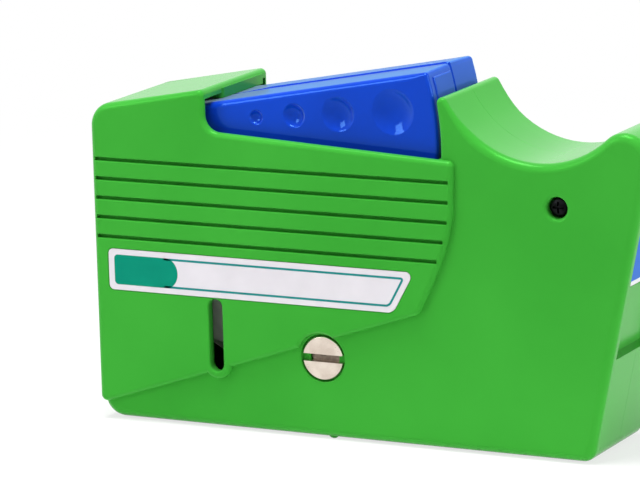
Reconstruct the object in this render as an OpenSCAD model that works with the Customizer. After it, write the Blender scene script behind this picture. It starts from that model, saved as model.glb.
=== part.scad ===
// Reel cassette for wiping fibre optic connector ends. It stands on its long flat edge, lever up.
// Outlines are drawn in the XZ plane, x from the flat back end and z from the flat bottom edge,
// and are thickened along Y. The front, with the label, looks towards -Y.

/* [Case] */
// Length of the case, from its flat back end to the tip of the nose
case_len = 136; // [132:1:142]
// Height of the case, from its flat bottom edge to the tip of the crest behind the lever
case_h = 78.9; // [77.5:0.1:81]
// Thickness of the case over its plain side faces
case_thick = 29; // [29:0.5:33]
// How far each raised grip panel stands proud of its side face
grip_step = 1.5; // [1.2:0.1:2.5]
// Wall thickness of the mouldings
wall = 2.2; // [1.8:0.1:2.4]
// Height of the case at its upper back corner, before rounding
back_h = 72.5; // [71.5:0.1:73.5]
// Distance from the back end to the end of the lip that covers the lever's hinge
lip_x = 29.3; // [29:0.1:31]
// Height of the side walls' upper edge at the lip, where the lever comes out
notch_z = 68.3; // [68:0.1:69.5]
// Fall of that edge towards the nose, in degrees
notch_fall = 2.98; // [2.5:0.01:3.5]
// Height of the top of the nose
nose_h = 73.4; // [72:0.1:75]
// Radius of the nose
nose_r = 6; // [5:0.1:6.5]
// Backward lean of the nose's end face, in degrees
nose_lean = 12; // [10:0.5:13]
// Radius of the finger scoop between the crest and the nose
scoop_r = 24; // [23:0.5:28]
// Radius of the tip of the crest
crest_tip_r = 1.3; // [1.25:0.05:1.6]
// Height of the small nub under the front edge
nub_drop = 0.4; // [0.3:0.1:0.8]

/* [Grip panel] */
// Distance from the back end to the panel's straight front edge
grip_x = 90.5; // [89:0.1:92]
// Distance from the back end to the panel's lower front corner
grip_corner_x = 81.4; // [79:0.1:83]
// Slope of the panel's lower edge, in degrees
grip_slope = 18.4; // [17.5:0.1:19]
// Height at which the panel's lower edge meets the back end
grip_back_z = 3.15; // [2.8:0.05:3.6]
// Number of grip grooves
groove_count = 5; // [3:1:5]
// Height of the uppermost groove
groove_top_z = 60.45; // [60:0.05:61]
// Spacing of the grooves
groove_pitch = 4.46; // [4:0.02:4.6]
// Width of a groove at its floor
groove_w = 0.8; // [0.6:0.05:1.2]
// Depth of a groove
groove_depth = 1.3; // [0.4:0.05:1.5]

/* [Label and window] */
// Height of the lower edge of the label
label_z = 30.35; // [30:0.05:31]
// Height of the label from edge to edge
label_h = 9.5; // [8:0.1:10]
// Length of the label along its upper edge
label_len = 77; // [72:0.5:78]
// Thickness of the label, which lies flush in its recess
label_t = 0.25; // [0.2:0.05:0.4]
// Width of the slot that shows how much tape is left
level_slot_w = 3.5; // [3:0.1:4]
// Length of that slot
level_slot_len = 16.65; // [15:0.05:18]

/* [Lever] */
// Distance from the back end to the lever's hinge
pivot_x = 27; // [26:0.1:28]
// Height of the lever's hinge
pivot_z = 67.5; // [67:0.1:67.8]
// Reach of the lever, from its hinge to its free end
lever_reach = 58.4; // [57.5:0.1:59]
// Gap between the lever's free end and the crest
lever_gap = 1.6; // [1.2:0.1:2]
// Travel of the lever, in degrees, which is also the slope of its top at rest
lever_travel = 10.2; // [9:0.1:10.5]
// Width of the lever
lever_w = 24; // [23.6:0.1:24]
// Height of the lever's top above its hinge line
lever_rise = 6.3; // [6:0.1:6.5]
// Wall thickness of the lever's two mouldings
lever_wall = 2; // [1.8:0.1:2]
// Rounding along the lever's outer edges
lever_round = 0.9; // [0.5:0.1:1]
// Radius of the lever's hinge pin
lever_pin_r = 2; // [1.5:0.1:2.2]

/* [Tape and reels] */
// Distance from the back end to the supply reel's axle
supply_x = 30.7; // [30:0.1:31.5]
// Distance from the back end to the take-up reel's axle
takeup_x = 83.1; // [82:0.1:84]
// Height of both axles
reel_z = 38; // [37.5:0.1:38.2]
// Radius of the reels' flanges
flange_r = 24.5; // [23:0.1:24.5]
// Radius of the full roll of tape on the supply reel
supply_roll_r = 20.7; // [16:0.1:22]
// Radius of the used tape on the take-up reel
takeup_roll_r = 12; // [9:0.1:13]
// Width of the cleaning tape
tape_w = 12; // [10:0.5:12]
// Thickness of the cleaning tape
tape_t = 0.12; // [0.1:0.01:0.2]
// Radius of the reels' axles
axle_r = 3; // [2.5:0.1:3.2]
// Radius of the guide rollers
roller_r = 3; // [2.6:0.1:3.2]
// Radius over the teeth of the ratchet wheel
ratchet_r = 12; // [11:0.1:12]
// Number of ratchet teeth
ratchet_teeth = 24; // [18:1:30]

/* [Cleaning window] */
// Length of the two cleaning slots
slot_len = 15; // [12:0.5:15]
// Width of each cleaning slot
slot_w = 4; // [3:0.1:4.2]
// Thickness of the sliding shutter
shutter_t = 1.9; // [1.5:0.1:2]

/* [Screws] */
// Distance from the back end to the coin screw
coin_x = 56.9; // [56:0.1:57.5]
// Height of the coin screw
coin_z = 18.2; // [17.5:0.1:19]
// Radius of the coin screw's head
coin_head_r = 5; // [4.5:0.1:5.2]
// Distance from the back end to the nose screw
nose_screw_x = 114.45; // [114:0.05:115]
// Height of the nose screw
nose_screw_z = 56.2; // [55.8:0.1:56.6]
// Radius of the sunk hole over the nose screw's head
nose_hole_r = 2.4; // [2.2:0.1:2.6]

/* [Hidden] */
$fn = 72;

// Overrun of every cut
over = 0.5;
// Radial clearance of a pin or axle in its bore
fit = 0.03;
// Clearance between flat pieces that move past each other
slide_gap = 0.1;
// Clearance round pieces that swing or turn
swing_gap = 0.3;
// Largest turn between two points of a rounded corner, in degrees
arc_step = 12;
// Largest turn of one straight piece of the lever's long end arc, in degrees
end_arc_step = 3;
// Number of flats across a rounded edge
round_steps = 3;

side_y = case_thick / 2;
grip_y = side_y + grip_step;
inner_y = side_y - wall;
pivot = [pivot_x, pivot_z];
supply_c = [supply_x, reel_z];
takeup_c = [takeup_x, reel_z];
coin_c = [coin_x, coin_z];
nose_screw_c = [nose_screw_x, nose_screw_z];

// Corner radii of the case's outline
bottom_back_r = 5;
bottom_front_r = 3;
back_corner_r = 5.5;
lip_corner_r = 1.3;
notch_corner_r = 3.8;

// Crest, scoop and nose: three circles that touch each other
crest_r = lever_reach + lever_gap;
crest_tip_z = case_h - crest_tip_r;
crest_tip_c = [pivot_x + sqrt(pow(crest_r + crest_tip_r, 2) - pow(crest_tip_z - pivot_z, 2)), crest_tip_z];
nose_c = [case_len - nose_r, nose_h - nose_r];
scoop_c = circle_meet(crest_tip_c, scoop_r + crest_tip_r, nose_c, scoop_r + nose_r);
lip_top_z = back_h + lip_x * tan(lever_travel);
well_r = crest_r - slide_gap;
crest_foot_drop = 0.8;

// Distances along the nose's outward normal, measured from the lever's hinge
face_r = (nose_c - pivot) * [cos(nose_lean), -sin(nose_lean)] + nose_r;
recess_depth = 2.2;
recess_r = face_r - recess_depth;
nose_wall = 1.9;
nose_inner_r = recess_r - nose_wall;
tape_gap = 0.5;
tape_face_r = nose_inner_r - tape_gap;
shutter_pin_r = 1.5;
shutter_pin_inset = 8.3;
shutter_swing_r = face_r - shutter_pin_inset;
shutter_half_travel = shutter_swing_r * sin(lever_travel / 2);

// Positions along the nose's face, upwards from the middle of the shutter's travel
slot_top_s = 12;
slot_low_s = slot_top_s - slot_len;
cover_margin = 2;
shutter_top_s = slot_top_s + cover_margin;
shutter_low_s = slot_low_s - cover_margin;
recess_low_s = shutter_low_s - 2 * shutter_half_travel - swing_gap;
recess_top_s = shutter_top_s + swing_gap;
recess_half_y = 11.5;
rail_w = 1.1;
rail_t = 1.1;

// Layers across the case, as distances from its middle plane
reel_half_y = 7.2;
flange_t = 1.1;
washer_t = 0.35;
washer_gap = 0.05;
boss_y = reel_half_y + washer_t + 2 * washer_gap;
ratchet_in_y = 8;
ratchet_out_y = 9.8;
takeup_boss_y = ratchet_out_y + washer_t + 2 * washer_gap;
pawl_in_y = 8.15;
pawl_out_y = 9.75;
arm_in_y = lever_w / 2 - lever_wall + 0.2;
tail_in_y = 8.5;
tail_out_y = arm_in_y - 2 * slide_gap;
tail_half_s = shutter_pin_r + 1.6;

boss_t = 2;
boss_r = axle_r + boss_t;
small_boss_r = 3.4;
small_pin_r = 1.5;
core_r = 8;
hub_r = 5;

// Guide rollers, in the order in which the tape meets them
roller_low_c = [44, 10];
roller_line_r = tape_face_r - roller_r;
roller_corner_s = (roller_low_c.y - pivot_z + roller_line_r * sin(nose_lean)) / cos(nose_lean);
roller_corner_c = face_point(roller_line_r, roller_corner_s);
roller_top_s = 17.8;
roller_lip = 0.4;
roller_top_c = face_point(roller_line_r, roller_top_s);
tape_seat = 0.03;

// Dowels between the shells
dowel_r = 1.5;
dowel_len = 3;
dowel_places = [[7, 7], [7, 64], [107, 16]];

// Grip panel: corners in side view, and the bend of its front edge as shares of its own length and height
grip_corner_r = 2.5;
grip_back_r = 1.5;
grip_corner_z = grip_back_z + grip_corner_x * tan(grip_slope);
grip_top_z = notch_z - (grip_x - lip_x) * tan(notch_fall);
bend_start_share = [-0.033, 0.743];
bend_pull_share = [0.011, 0.505];
bend_end_share = [-0.924, 0.04];
bend_steps = 8;
groove_end_gap = 0.9;
groove_back_gap = 1;
groove_lip = 0.4;

// Label: the lower edge ends short of the upper one
label_back = 3.72;
label_slant = 5.3;
label_corner_r = 1.2;
label_edge_gap = 0.2;

// Level slot, with the raised rim that carries the grip panel round its lower end
level_slot_x = 30.75;
level_slot_z = 13.3;
level_rim = 1.8;
level_wall = 1.9;
level_relief = 0.8;

// Coin screw and its threaded insert
coin_head_t = 1.3;
coin_head_gap = 0.45;
coin_slot_w = 1.6;
coin_shank_r = 3.5;
coin_thread_r = 2.6;
coin_shank_end_y = -3;
coin_thread_end_y = 7;
coin_boss_r = 5.6;
nut_r = 4.2;
nut_len = 7.5;

// Nub under the front edge, beside the coin screw
nub_r = 1.6;
nub_len = 3;
nub_back = 1.2;
nub_shift = 1.5;

// Nose screw
nose_boss_r = 4;
nose_screw_head_r = 2.2;
nose_screw_head_t = 1.6;
nose_screw_sink = 2.6;
nose_screw_shank_r = 1.3;
nose_screw_end_y = 9;
nose_rim = 0.8;
driver_cross_w = 0.5;
driver_cross_len = 2.6;
driver_cross_depth = 0.9;

// Room beside the lever: along the upper edge the panel's wall is this thin
pocket_wall = 1.4;
pocket_y = grip_y - pocket_wall;
pocket_back = 2.5;
pocket_drop = 3;

// Lever
lever_half_y = lever_w / 2;
lever_boss_r = 3.2;
lever_split = 0.07;
lever_skirt_z = 59.8;
lever_tail_reach = 5.4;
lever_tail_x = pivot_x - lever_tail_reach;
lever_tail_r = 5;
lever_corner_r = 1;
lever_hub_r = 4.4;
end_wall_z = 73;
curtain_front_y = 7;
curtain_rear_y = inner_y + wall / 4;
curtain_gap = 0.15;
arm_w = 5;
arm_t = lever_half_y - arm_in_y;
arm_root_share = [0.942, -0.103];
arm_knee_share = [1.5, -0.385];
dimple_places_share = [[0.2346, 0.0693], [0.3973, 0.0856], [0.5848, 0.101], [0.8151, 0.1224]];
dimple_r = [1.6, 2.5, 4.1, 5.35];
dimple_depth_share = 0.28;
end_pad_proud = 0.35;
end_pad_root = 0.5;
end_pad_side = 2.2;
end_pad_gap = 0.8;
end_pad_drop = 1.4;
end_pad_steps = 8;

// Return spring of the lever, which stands on a shelf between the reels
spring_c = [57, 0];
spring_r = 4;
spring_wire = 0.8;
shelf_top_z = 53.5;
shelf_t = 2.5;
shelf_w = 9.6;
shelf_front_y = -5;
spring_peg_r = 2.6;
spring_peg_h = 3;
spring_pad_z = 75.6;
spring_pad_r = 4.6;

// Pawls: each stands just clear of the ratchet teeth
pawl_gap = 0.5;
pawl_len = 16;
holding_len = 14;
holding_angle = 40;
pawl_root_r = 2.8;
pawl_tip_r = 0.5;
pawl_spring_r = 2.4;
pawl_spring_t = 0.8;
pawl_spring_leg = 4;
tooth_depth = 1.2;

line_of_centres = unit(takeup_c - pivot);
pawl_tip_ring = ratchet_r + pawl_gap + pawl_tip_r;
mesh_mid = takeup_c - line_of_centres * pawl_tip_ring;
push_mid = [line_of_centres.y, -line_of_centres.x];
drive_tip = turn_about(mesh_mid, pivot, lever_travel / 2);
drive_pivot = turn_about(mesh_mid - push_mid * pawl_len, pivot, lever_travel / 2);
holding_tip = polar(takeup_c, pawl_tip_ring, holding_angle);
holding_pivot = holding_tip + [sin(holding_angle), -cos(holding_angle)] * holding_len;

// Window, pad and frame behind the tape
plate_half_y = 7.2;
plate_end = 5;
plate_low_s = slot_low_s - plate_end;
plate_top_s = slot_top_s + plate_end;
plate_fit = 0.05;
tongue_t = 0.7;
tongue_len = 0.8;
slot_bridge = 2;
pad_t = 4;
pad_low_s = slot_low_s - 3;
pad_top_s = slot_top_s + 0.5;
pad_half_y = 6.4;
frame_t = 1.5;
frame_foot_t = 3;

// Returns v at a length of one
function unit(v) = v / norm(v);

// Point at distance r from c, in the direction a
function polar(c, r, a) = [c.x + r * cos(a), c.y + r * sin(a)];

// Direction from p to q, in degrees
function heading(p, q) = atan2(q.y - p.y, q.x - p.x);

// Points of an arc from direction a0 to a1, without its last point
function arc(c, r, a0, a1) =
    let (n = max(2, ceil(abs(a1 - a0) / arc_step)))
    [for (i = [0 : n - 1]) polar(c, r, a0 + (a1 - a0) * i / n)];

// Upper point at distance da from a and db from b
function circle_meet(a, da, b, db) =
    let (
        d = norm(b - a),
        u = (b - a) / d,
        along = (da * da - db * db + d * d) / (2 * d),
        off = sqrt(da * da - along * along)
    )
    a + u * along + [-u.y, u.x] * off;

// p turned about c by a degrees, counter-clockwise as the front is seen
function turn_about(p, c, a) =
    let (q = p - c)
    c + [q.x * cos(a) - q.y * sin(a), q.x * sin(a) + q.y * cos(a)];

// Point on the nose: r from the hinge along the face's normal, s up the face
function face_point(r, s) =
    pivot
    + r * [cos(nose_lean), -sin(nose_lean)]
    + s * [sin(nose_lean), cos(nose_lean)];

// Points of the rounded corner at b, between its neighbours a and c
function corner(a, b, c, r) =
    let (
        u = unit(a - b),
        v = unit(c - b),
        half = acos(u * v) / 2,
        m = b + unit(u + v) * r / sin(half),
        a0 = heading(m, b + u * r / tan(half)),
        a1 = heading(m, b + v * r / tan(half)),
        turn = (a1 - a0 + 540) % 360 - 180,
        n = max(1, ceil(abs(turn) / arc_step))
    )
    [for (i = [0 : n]) polar(m, r, a0 + turn * i / n)];

// Outline through corners given as [x, z, radius]
function rounded(corners) =
    let (n = len(corners), p = [for (k = corners) [k[0], k[1]]])
    [
        for (i = [0 : n - 1])
            each corners[i][2] > 0
                ? corner(p[(i + n - 1) % n], p[i], p[(i + 1) % n], corners[i][2])
                : [p[i]]
    ];

// Points as corners that stay sharp
function sharp(points) = [for (p = points) [p.x, p.y, 0]];

// Outline drawn in by d on every side
function inset(points, d) =
    let (n = len(points))
    [
        for (i = [0 : n - 1])
            let (
                e = unit(points[i] - points[(i + n - 1) % n]),
                f = unit(points[(i + 1) % n] - points[i]),
                a = [-e.y, e.x],
                b = [-f.y, f.x]
            )
            points[i] + (a + b) * d / (1 + a * b)
    ];

// Height of the side walls' upper edge at x
function notch_at(x) = notch_z - (x - lip_x) * tan(notch_fall);

// Height of the lever's top at x
function lever_top_at(x) = pivot_z + lever_rise + (x - pivot_x) * tan(lever_travel);

// Direction, from the lever's hinge, of the point at height z on a circle of radius r about it
function rise_angle(z, r) = asin((z - pivot_z) / r);

// Height of the roof's underside at x, behind the lip
function roof_under_at(x) = back_h + x * tan(lever_travel) - wall / cos(lever_travel);

notch_end_angle = rise_angle(notch_at(pivot_x + crest_r), crest_r);
crest_foot_z = notch_at(pivot_x + crest_r) - crest_foot_drop;

case_outline = rounded(concat(
    [[0, 0, bottom_back_r]],
    [[face_point(face_r, 0).x - face_point(face_r, 0).y * tan(nose_lean), 0, bottom_front_r]],
    sharp(arc(nose_c, nose_r, -nose_lean, heading(nose_c, scoop_c))),
    sharp(arc(
        scoop_c, scoop_r,
        heading(scoop_c, nose_c), heading(scoop_c, crest_tip_c) - 360 * bend_turns()
    )),
    sharp(arc(crest_tip_c, crest_tip_r, heading(crest_tip_c, scoop_c), heading(pivot, crest_tip_c) + 180)),
    sharp(arc(pivot, crest_r, heading(pivot, crest_tip_c), notch_end_angle)),
    sharp([polar(pivot, crest_r, notch_end_angle)]),
    [[lip_x, notch_z, notch_corner_r]],
    [[lip_x, lip_top_z, lip_corner_r]],
    [[0, back_h, back_corner_r]]
));

// The scoop is swept downwards, through directions below zero
function bend_turns() = heading(scoop_c, crest_tip_c) > 0 ? 1 : 0;

// Place on the grip panel's front edge, as shares of its overhang past the lower corner and of its height
function grip_place(share) = [
    grip_x + share.x * (grip_x - grip_corner_x),
    grip_corner_z + share.y * (grip_top_z - grip_corner_z)
];

grip_bend = [
    for (i = [0 : bend_steps])
        let (t = i / bend_steps)
        (1 - t) * (1 - t) * grip_place(bend_end_share)
            + 2 * t * (1 - t) * grip_place(bend_pull_share)
            + t * t * grip_place(bend_start_share)
];

grip_outline = rounded(concat(
    [[0, grip_back_z, grip_back_r]],
    [[grip_corner_x, grip_corner_z, grip_corner_r]],
    sharp(grip_bend),
    [[grip_x, grip_top_z, lip_corner_r]],
    [[lip_x, notch_z, notch_corner_r]],
    [[lip_x, lip_top_z, lip_corner_r]],
    [[0, back_h, back_corner_r]]
));

// Distance from the back end to the grip panel's front edge at height z
function grip_edge_at(z) = lookup(z, concat(
    [for (p = grip_bend) [p.y, p.x]],
    [[grip_top_z, grip_x]]
));

label_outline = rounded([
    [label_back, label_z, label_corner_r],
    [label_back + label_len - label_slant, label_z, label_corner_r],
    [label_back + label_len, label_z + label_h, label_corner_r],
    [label_back, label_z + label_h, label_corner_r]
]);

lever_outline = rounded(concat(
    [[lever_tail_x, pivot_z - lever_tail_r, lever_tail_r]],
    sharp([
        for (a = [
            rise_angle(lever_skirt_z, lever_reach)
            : end_arc_step
            : rise_angle(lever_top_at(pivot_x + lever_reach), lever_reach) - end_arc_step
        ])
            polar(pivot, lever_reach, a)
    ]),
    [[lever_end_x(), lever_top_at(lever_end_x()), lever_corner_r]],
    [[lever_tail_x, lever_top_at(lever_tail_x), lever_corner_r]]
));

// Where the lever's sloping top meets the circle of its free end
function lever_end_x() =
    let (
        m = tan(lever_travel),
        k = lever_rise,
        q = 1 + m * m
    )
    pivot_x + (sqrt(q * lever_reach * lever_reach - k * k) - m * k) / q;

// Endless-belt rule: heading of the tape between two wheels that both lie on its left
function run_heading(a, ra, b, rb) = heading(a, b) + asin((ra - rb) / norm(b - a));

tape_wheels = [
    [supply_c, supply_roll_r],
    [roller_low_c, roller_r],
    [roller_corner_c, roller_r],
    [roller_top_c, roller_r],
    [takeup_c, takeup_roll_r]
];
tape_headings = [
    for (i = [0 : len(tape_wheels) - 2])
        let (
            here = tape_wheels[i],
            next = tape_wheels[i + 1],
            raw = run_heading(here[0], here[1], next[0], next[1])
        )
        i == len(tape_wheels) - 2 && raw < 0 ? raw + 360 : raw
];

// Line of the tape, at a distance off outside the wheels
function tape_line(off) = concat(
    [polar(supply_c, supply_roll_r + off, tape_headings[0] - 90)],
    [
        for (i = [1 : len(tape_wheels) - 2])
            let (
                a0 = tape_headings[i - 1] - 90,
                a1 = tape_headings[i] - 90,
                n = ceil(abs(a1 - a0) / arc_step)
            )
            for (k = [0 : n]) polar(tape_wheels[i][0], tape_wheels[i][1] + off, a0 + (a1 - a0) * k / n)
    ],
    [polar(takeup_c, takeup_roll_r + off, tape_headings[len(tape_headings) - 1] - 90)]
);

// Moves a sub-part from the outline's origin to the middle of the base
module place() {
    translate([-case_len / 2, 0, nub_drop]) children();
}

// Thickens a shape of the XZ plane from y0 to y1
module slab(y0, y1) {
    rotate([90, 0, 0]) translate([0, 0, -y1]) linear_extrude(y1 - y0) children();
}

// Round bar along Y at p
module rod(p, r, y0, y1) {
    translate([p.x, y0, p.y]) rotate([-90, 0, 0]) cylinder(r = r, h = y1 - y0);
}

// Bar with a bore along Y
module tube(p, r, bore_r, y0, y1) {
    difference() {
        rod(p, r, y0, y1);
        rod(p, bore_r, y0 - over, y1 + over);
    }
}

// Block between two distances along the nose's normal and two along its face
module face_block(r0, r1, s0, s1, y0, y1) {
    slab(y0, y1) polygon([face_point(r0, s0), face_point(r1, s0), face_point(r1, s1), face_point(r0, s1)]);
}

// Slab from y0 to y1 whose edge at y1 is rounded
module rounded_slab(outline, y0, y1, r) {
    n = len(outline);
    layers = concat(
        [[for (p = outline) [p.x, y0, p.y]]],
        [
            for (k = [0 : round_steps])
                let (a = 90 * k / round_steps)
                [for (p = inset(outline, r * (1 - cos(a)))) [p.x, y1 - r * (1 - sin(a)), p.y]]
        ]
    );
    polyhedron(
        points = [for (layer = layers) each layer],
        faces = concat(
            [[for (i = [n - 1 : -1 : 0]) i]],
            [[for (i = [0 : n - 1]) (len(layers) - 1) * n + i]],
            [
                for (k = [0 : len(layers) - 2])
                    for (i = [0 : n - 1])
                        let (a = k * n + i, b = k * n + (i + 1) % n)
                        each [[a, b, b + n], [a, b + n, a + n]]
            ]
        )
    );
}

// Hollow of the case in the XZ plane
module hollow() {
    low_x = face_point(nose_inner_r, 0).x - (face_point(nose_inner_r, 0).y - wall) * tan(nose_lean);
    top_z = nose_h - wall;
    top_x = low_x + (top_z - wall) * tan(nose_lean);
    difference() {
        union() {
            polygon(rounded([
                [wall, wall, bottom_back_r - wall],
                [low_x, wall, bottom_front_r - wall],
                [top_x, top_z, nose_r / 3],
                [wall, top_z, 0]
            ]));
            polygon([
                [wall, pivot_z],
                [lip_x + over, pivot_z],
                [lip_x + over, roof_under_at(lip_x)],
                [wall, roof_under_at(wall)]
            ]);
            intersection() {
                translate([lip_x, pivot_z - wall]) square([case_len, case_h]);
                translate(pivot) circle(r = well_r);
            }
        }
        translate(scoop_c) circle(r = scoop_r + wall);
        difference() {
            translate(pivot) circle(r = crest_r + wall);
            translate(pivot) circle(r = well_r);
            square([case_len, crest_foot_z]);
            square([pivot_x, case_h]);
        }
        translate([0, top_z]) square([wall, case_h]);
    }
}

// One groove of the grip panel, from y towards the middle
module groove(z) {
    x0 = groove_back_gap;
    x1 = grip_edge_at(z) - groove_end_gap;
    translate([x0, 0, z]) rotate([90, 0, 90]) linear_extrude(x1 - x0)
        polygon([
            [grip_y + over, groove_w / 2],
            [grip_y - groove_depth, groove_w / 2],
            [grip_y - groove_depth, -groove_w / 2],
            [grip_y, -groove_w / 2 - groove_lip],
            [grip_y + over, -groove_w / 2 - groove_lip]
        ]);
}

// Room beside the lever in the XZ plane, below the roof and short of the crest
module lever_pocket() {
    far_x = pivot_x + crest_r;
    back_x = lip_x - pocket_back;
    intersection() {
        translate(pivot) circle(r = well_r);
        polygon([
            [back_x, notch_z - pocket_drop],
            [far_x, notch_at(far_x) - pocket_drop],
            [far_x, case_h],
            [lip_x + over, case_h],
            [lip_x + over, roof_under_at(lip_x)],
            [back_x, roof_under_at(back_x)]
        ]);
    }
}

// Half of the case on the +Y side, without what differs between front and rear
module half_shell(curtain_y) {
    difference() {
        union() {
            slab(0, side_y) polygon(case_outline);
            slab(inner_y + wall / 4, grip_y) polygon(grip_outline);
        }
        slab(-over, inner_y) hollow();
        slab(inner_y - over, pocket_y) lever_pocket();
        for (i = [0 : groove_count - 1]) groove(groove_top_z - i * groove_pitch);
        nose_cuts();
    }
    slab(0, curtain_y) polygon([
        [lip_x - wall, lever_top_at(lip_x) + curtain_gap],
        [lip_x, lever_top_at(lip_x) + curtain_gap],
        [lip_x, lip_top_z - wall / 2],
        [lip_x - wall, lip_top_z - wall]
    ]);
}

// Recess for the shutter, its side grooves and the opening that holds the window plate
module nose_cuts() {
    face_block(recess_r, face_r + nose_r, recess_low_s, recess_top_s, -over, recess_half_y);
    face_block(
        recess_r, recess_r + rail_t + slide_gap,
        recess_low_s, recess_top_s, -over, recess_half_y + rail_w
    );
    face_block(
        nose_inner_r - wall, recess_r + over,
        plate_low_s, plate_top_s, -over, plate_half_y + plate_fit
    );
    face_block(
        (nose_inner_r + recess_r - tongue_t) / 2 - plate_fit,
        (nose_inner_r + recess_r + tongue_t) / 2 + plate_fit,
        plate_low_s - tongue_len - plate_fit,
        plate_top_s + tongue_len + plate_fit,
        -over,
        plate_half_y + plate_fit
    );
}

// Boss on the +Y side for a pin of radius r at p
module boss(p, r, bore_r, y0) {
    tube(p, r, bore_r + fit, y0, inner_y + wall / 2);
}

// Bosses that both shells have
module shared_bosses(takeup_y) {
    boss(supply_c, boss_r, axle_r, boss_y);
    boss(takeup_c, boss_r, axle_r, takeup_y);
    tube(pivot, lever_boss_r, lever_pin_r + fit, lever_half_y + slide_gap, pocket_y + pocket_wall / 3);
    for (c = [roller_low_c, roller_corner_c, roller_top_c]) boss(c, small_boss_r, small_pin_r, boss_y);
}

// Centre of the level slot's round lower end, or a point straight above it
function slot_end(rise) = [level_slot_x, level_slot_z + level_slot_w / 2 + rise];

// Slot shape with ends of radius r, in the XZ plane
module level_slot(r) {
    rise = level_slot_len - level_slot_w;
    translate(slot_end(0)) circle(r = r);
    translate(slot_end(rise)) circle(r = r);
    translate(slot_end(0) - [r, 0]) square([2 * r, rise]);
}

module front_shell() {
    boss_wall = inner_y + wall / 2;
    color("#43ae3b") difference() {
        union() {
            mirror([0, 1, 0]) half_shell(curtain_front_y);
            mirror([0, 1, 0]) shared_bosses(takeup_boss_y);
            rod(coin_c, coin_boss_r, -boss_wall, 0);
            rod(nose_screw_c, nose_boss_r, -boss_wall, 0);
            rod(holding_pivot, small_boss_r, -boss_wall, -pawl_out_y - slide_gap);
            for (p = dowel_places) rod(p, dowel_r + wall / 2, -boss_wall, 0);
            rod(slot_end(0), level_slot_w / 2 + level_rim, -grip_y, -inner_y);
            rod([coin_x + nub_shift, nub_r - nub_drop], nub_r, -side_y + nub_back, -side_y + nub_back + nub_len);
        }
        rod(coin_c, coin_shank_r + slide_gap, -side_y, over);
        rod(coin_c, coin_head_r + coin_head_gap, -grip_y - over, -side_y + coin_head_t);
        nose_screw_hole();
        rod(holding_pivot, small_pin_r + fit, -inner_y, 0);
        for (p = dowel_places) rod(p, dowel_r + fit, -dowel_len - slide_gap, over);
        slab(-grip_y - over, -inner_y + over) level_slot(level_slot_w / 2);
        slab(-grip_y + level_wall, -inner_y + over) level_slot(level_slot_w / 2 + level_relief);
        slab(-grip_y - over, -grip_y + label_t) polygon(inset(label_outline, -label_edge_gap));
    }
}

// Sunk hole for the nose screw, with a rounded mouth drawn as a cone
module nose_screw_hole() {
    rod(nose_screw_c, nose_hole_r, -side_y - over, -side_y + nose_screw_sink);
    rod(nose_screw_c, nose_screw_shank_r + slide_gap, -side_y, over);
    translate([nose_screw_x, -side_y - nose_rim / 4, nose_screw_z]) rotate([-90, 0, 0])
        cylinder(r1 = nose_hole_r + nose_rim * 5 / 4, r2 = nose_hole_r, h = nose_rim * 5 / 4);
}

module rear_shell() {
    boss_wall = inner_y + wall / 2;
    color("#3fa838") difference() {
        union() {
            half_shell(curtain_rear_y);
            shared_bosses(boss_y);
            rod(coin_c, coin_boss_r, 0, boss_wall);
            rod(nose_screw_c, nose_boss_r, 0, boss_wall);
            for (p = dowel_places) {
                rod(p, dowel_r + wall / 2, 0, boss_wall);
                rod(p, dowel_r, -dowel_len, 0);
            }
            spring_shelf();
        }
        rod(coin_c, nut_r + fit, -over, nut_len);
        rod(coin_c, coin_thread_r + slide_gap, -over, nut_len + over);
        rod(nose_screw_c, nose_screw_shank_r + fit, -over, nose_screw_end_y + over);
        face_block(
            nose_inner_r - wall, recess_r + over,
            -shutter_half_travel - tail_half_s - swing_gap, shutter_half_travel + tail_half_s + swing_gap,
            tail_in_y - slide_gap, tail_out_y + slide_gap
        );
    }
}

// Shelf with a peg for the lever's spring
module spring_shelf() {
    translate([spring_c.x - shelf_w / 2, shelf_front_y, shelf_top_z - shelf_t])
        cube([shelf_w, inner_y + wall / 2 - shelf_front_y, shelf_t]);
    translate([spring_c.x, 0, shelf_top_z - shelf_t / 2])
        cylinder(r = spring_peg_r, h = spring_peg_h + shelf_t / 2);
}

module front_label() {
    color("#eceaea") slab(-grip_y, -grip_y + label_t) polygon(label_outline);
}

module coin_screw() {
    color("#d8d0c4") {
        difference() {
            rod(coin_c, coin_head_r, -side_y, -side_y + coin_head_t);
            translate([coin_x - 2 * coin_head_r, -side_y - over, coin_z - coin_slot_w / 2])
                cube([4 * coin_head_r, coin_head_t + over, coin_slot_w]);
        }
        rod(coin_c, coin_shank_r, -side_y + coin_head_t, coin_shank_end_y);
        rod(coin_c, coin_thread_r, coin_shank_end_y, coin_thread_end_y);
    }
}

module coin_nut() {
    color("#c9a24a") tube(coin_c, nut_r, coin_thread_r + fit, 0, nut_len);
}

module nose_screw() {
    head_y = -side_y + nose_screw_sink;
    color("#202020") difference() {
        union() {
            rod(nose_screw_c, nose_screw_head_r, head_y - nose_screw_head_t, head_y);
            rod(nose_screw_c, nose_screw_shank_r, head_y, nose_screw_end_y);
        }
        for (a = [0, 90])
            translate([nose_screw_x, head_y - nose_screw_head_t, nose_screw_z]) rotate([0, a, 0])
                cube([driver_cross_len, 2 * driver_cross_depth, driver_cross_w], center = true);
    }
}

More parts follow.
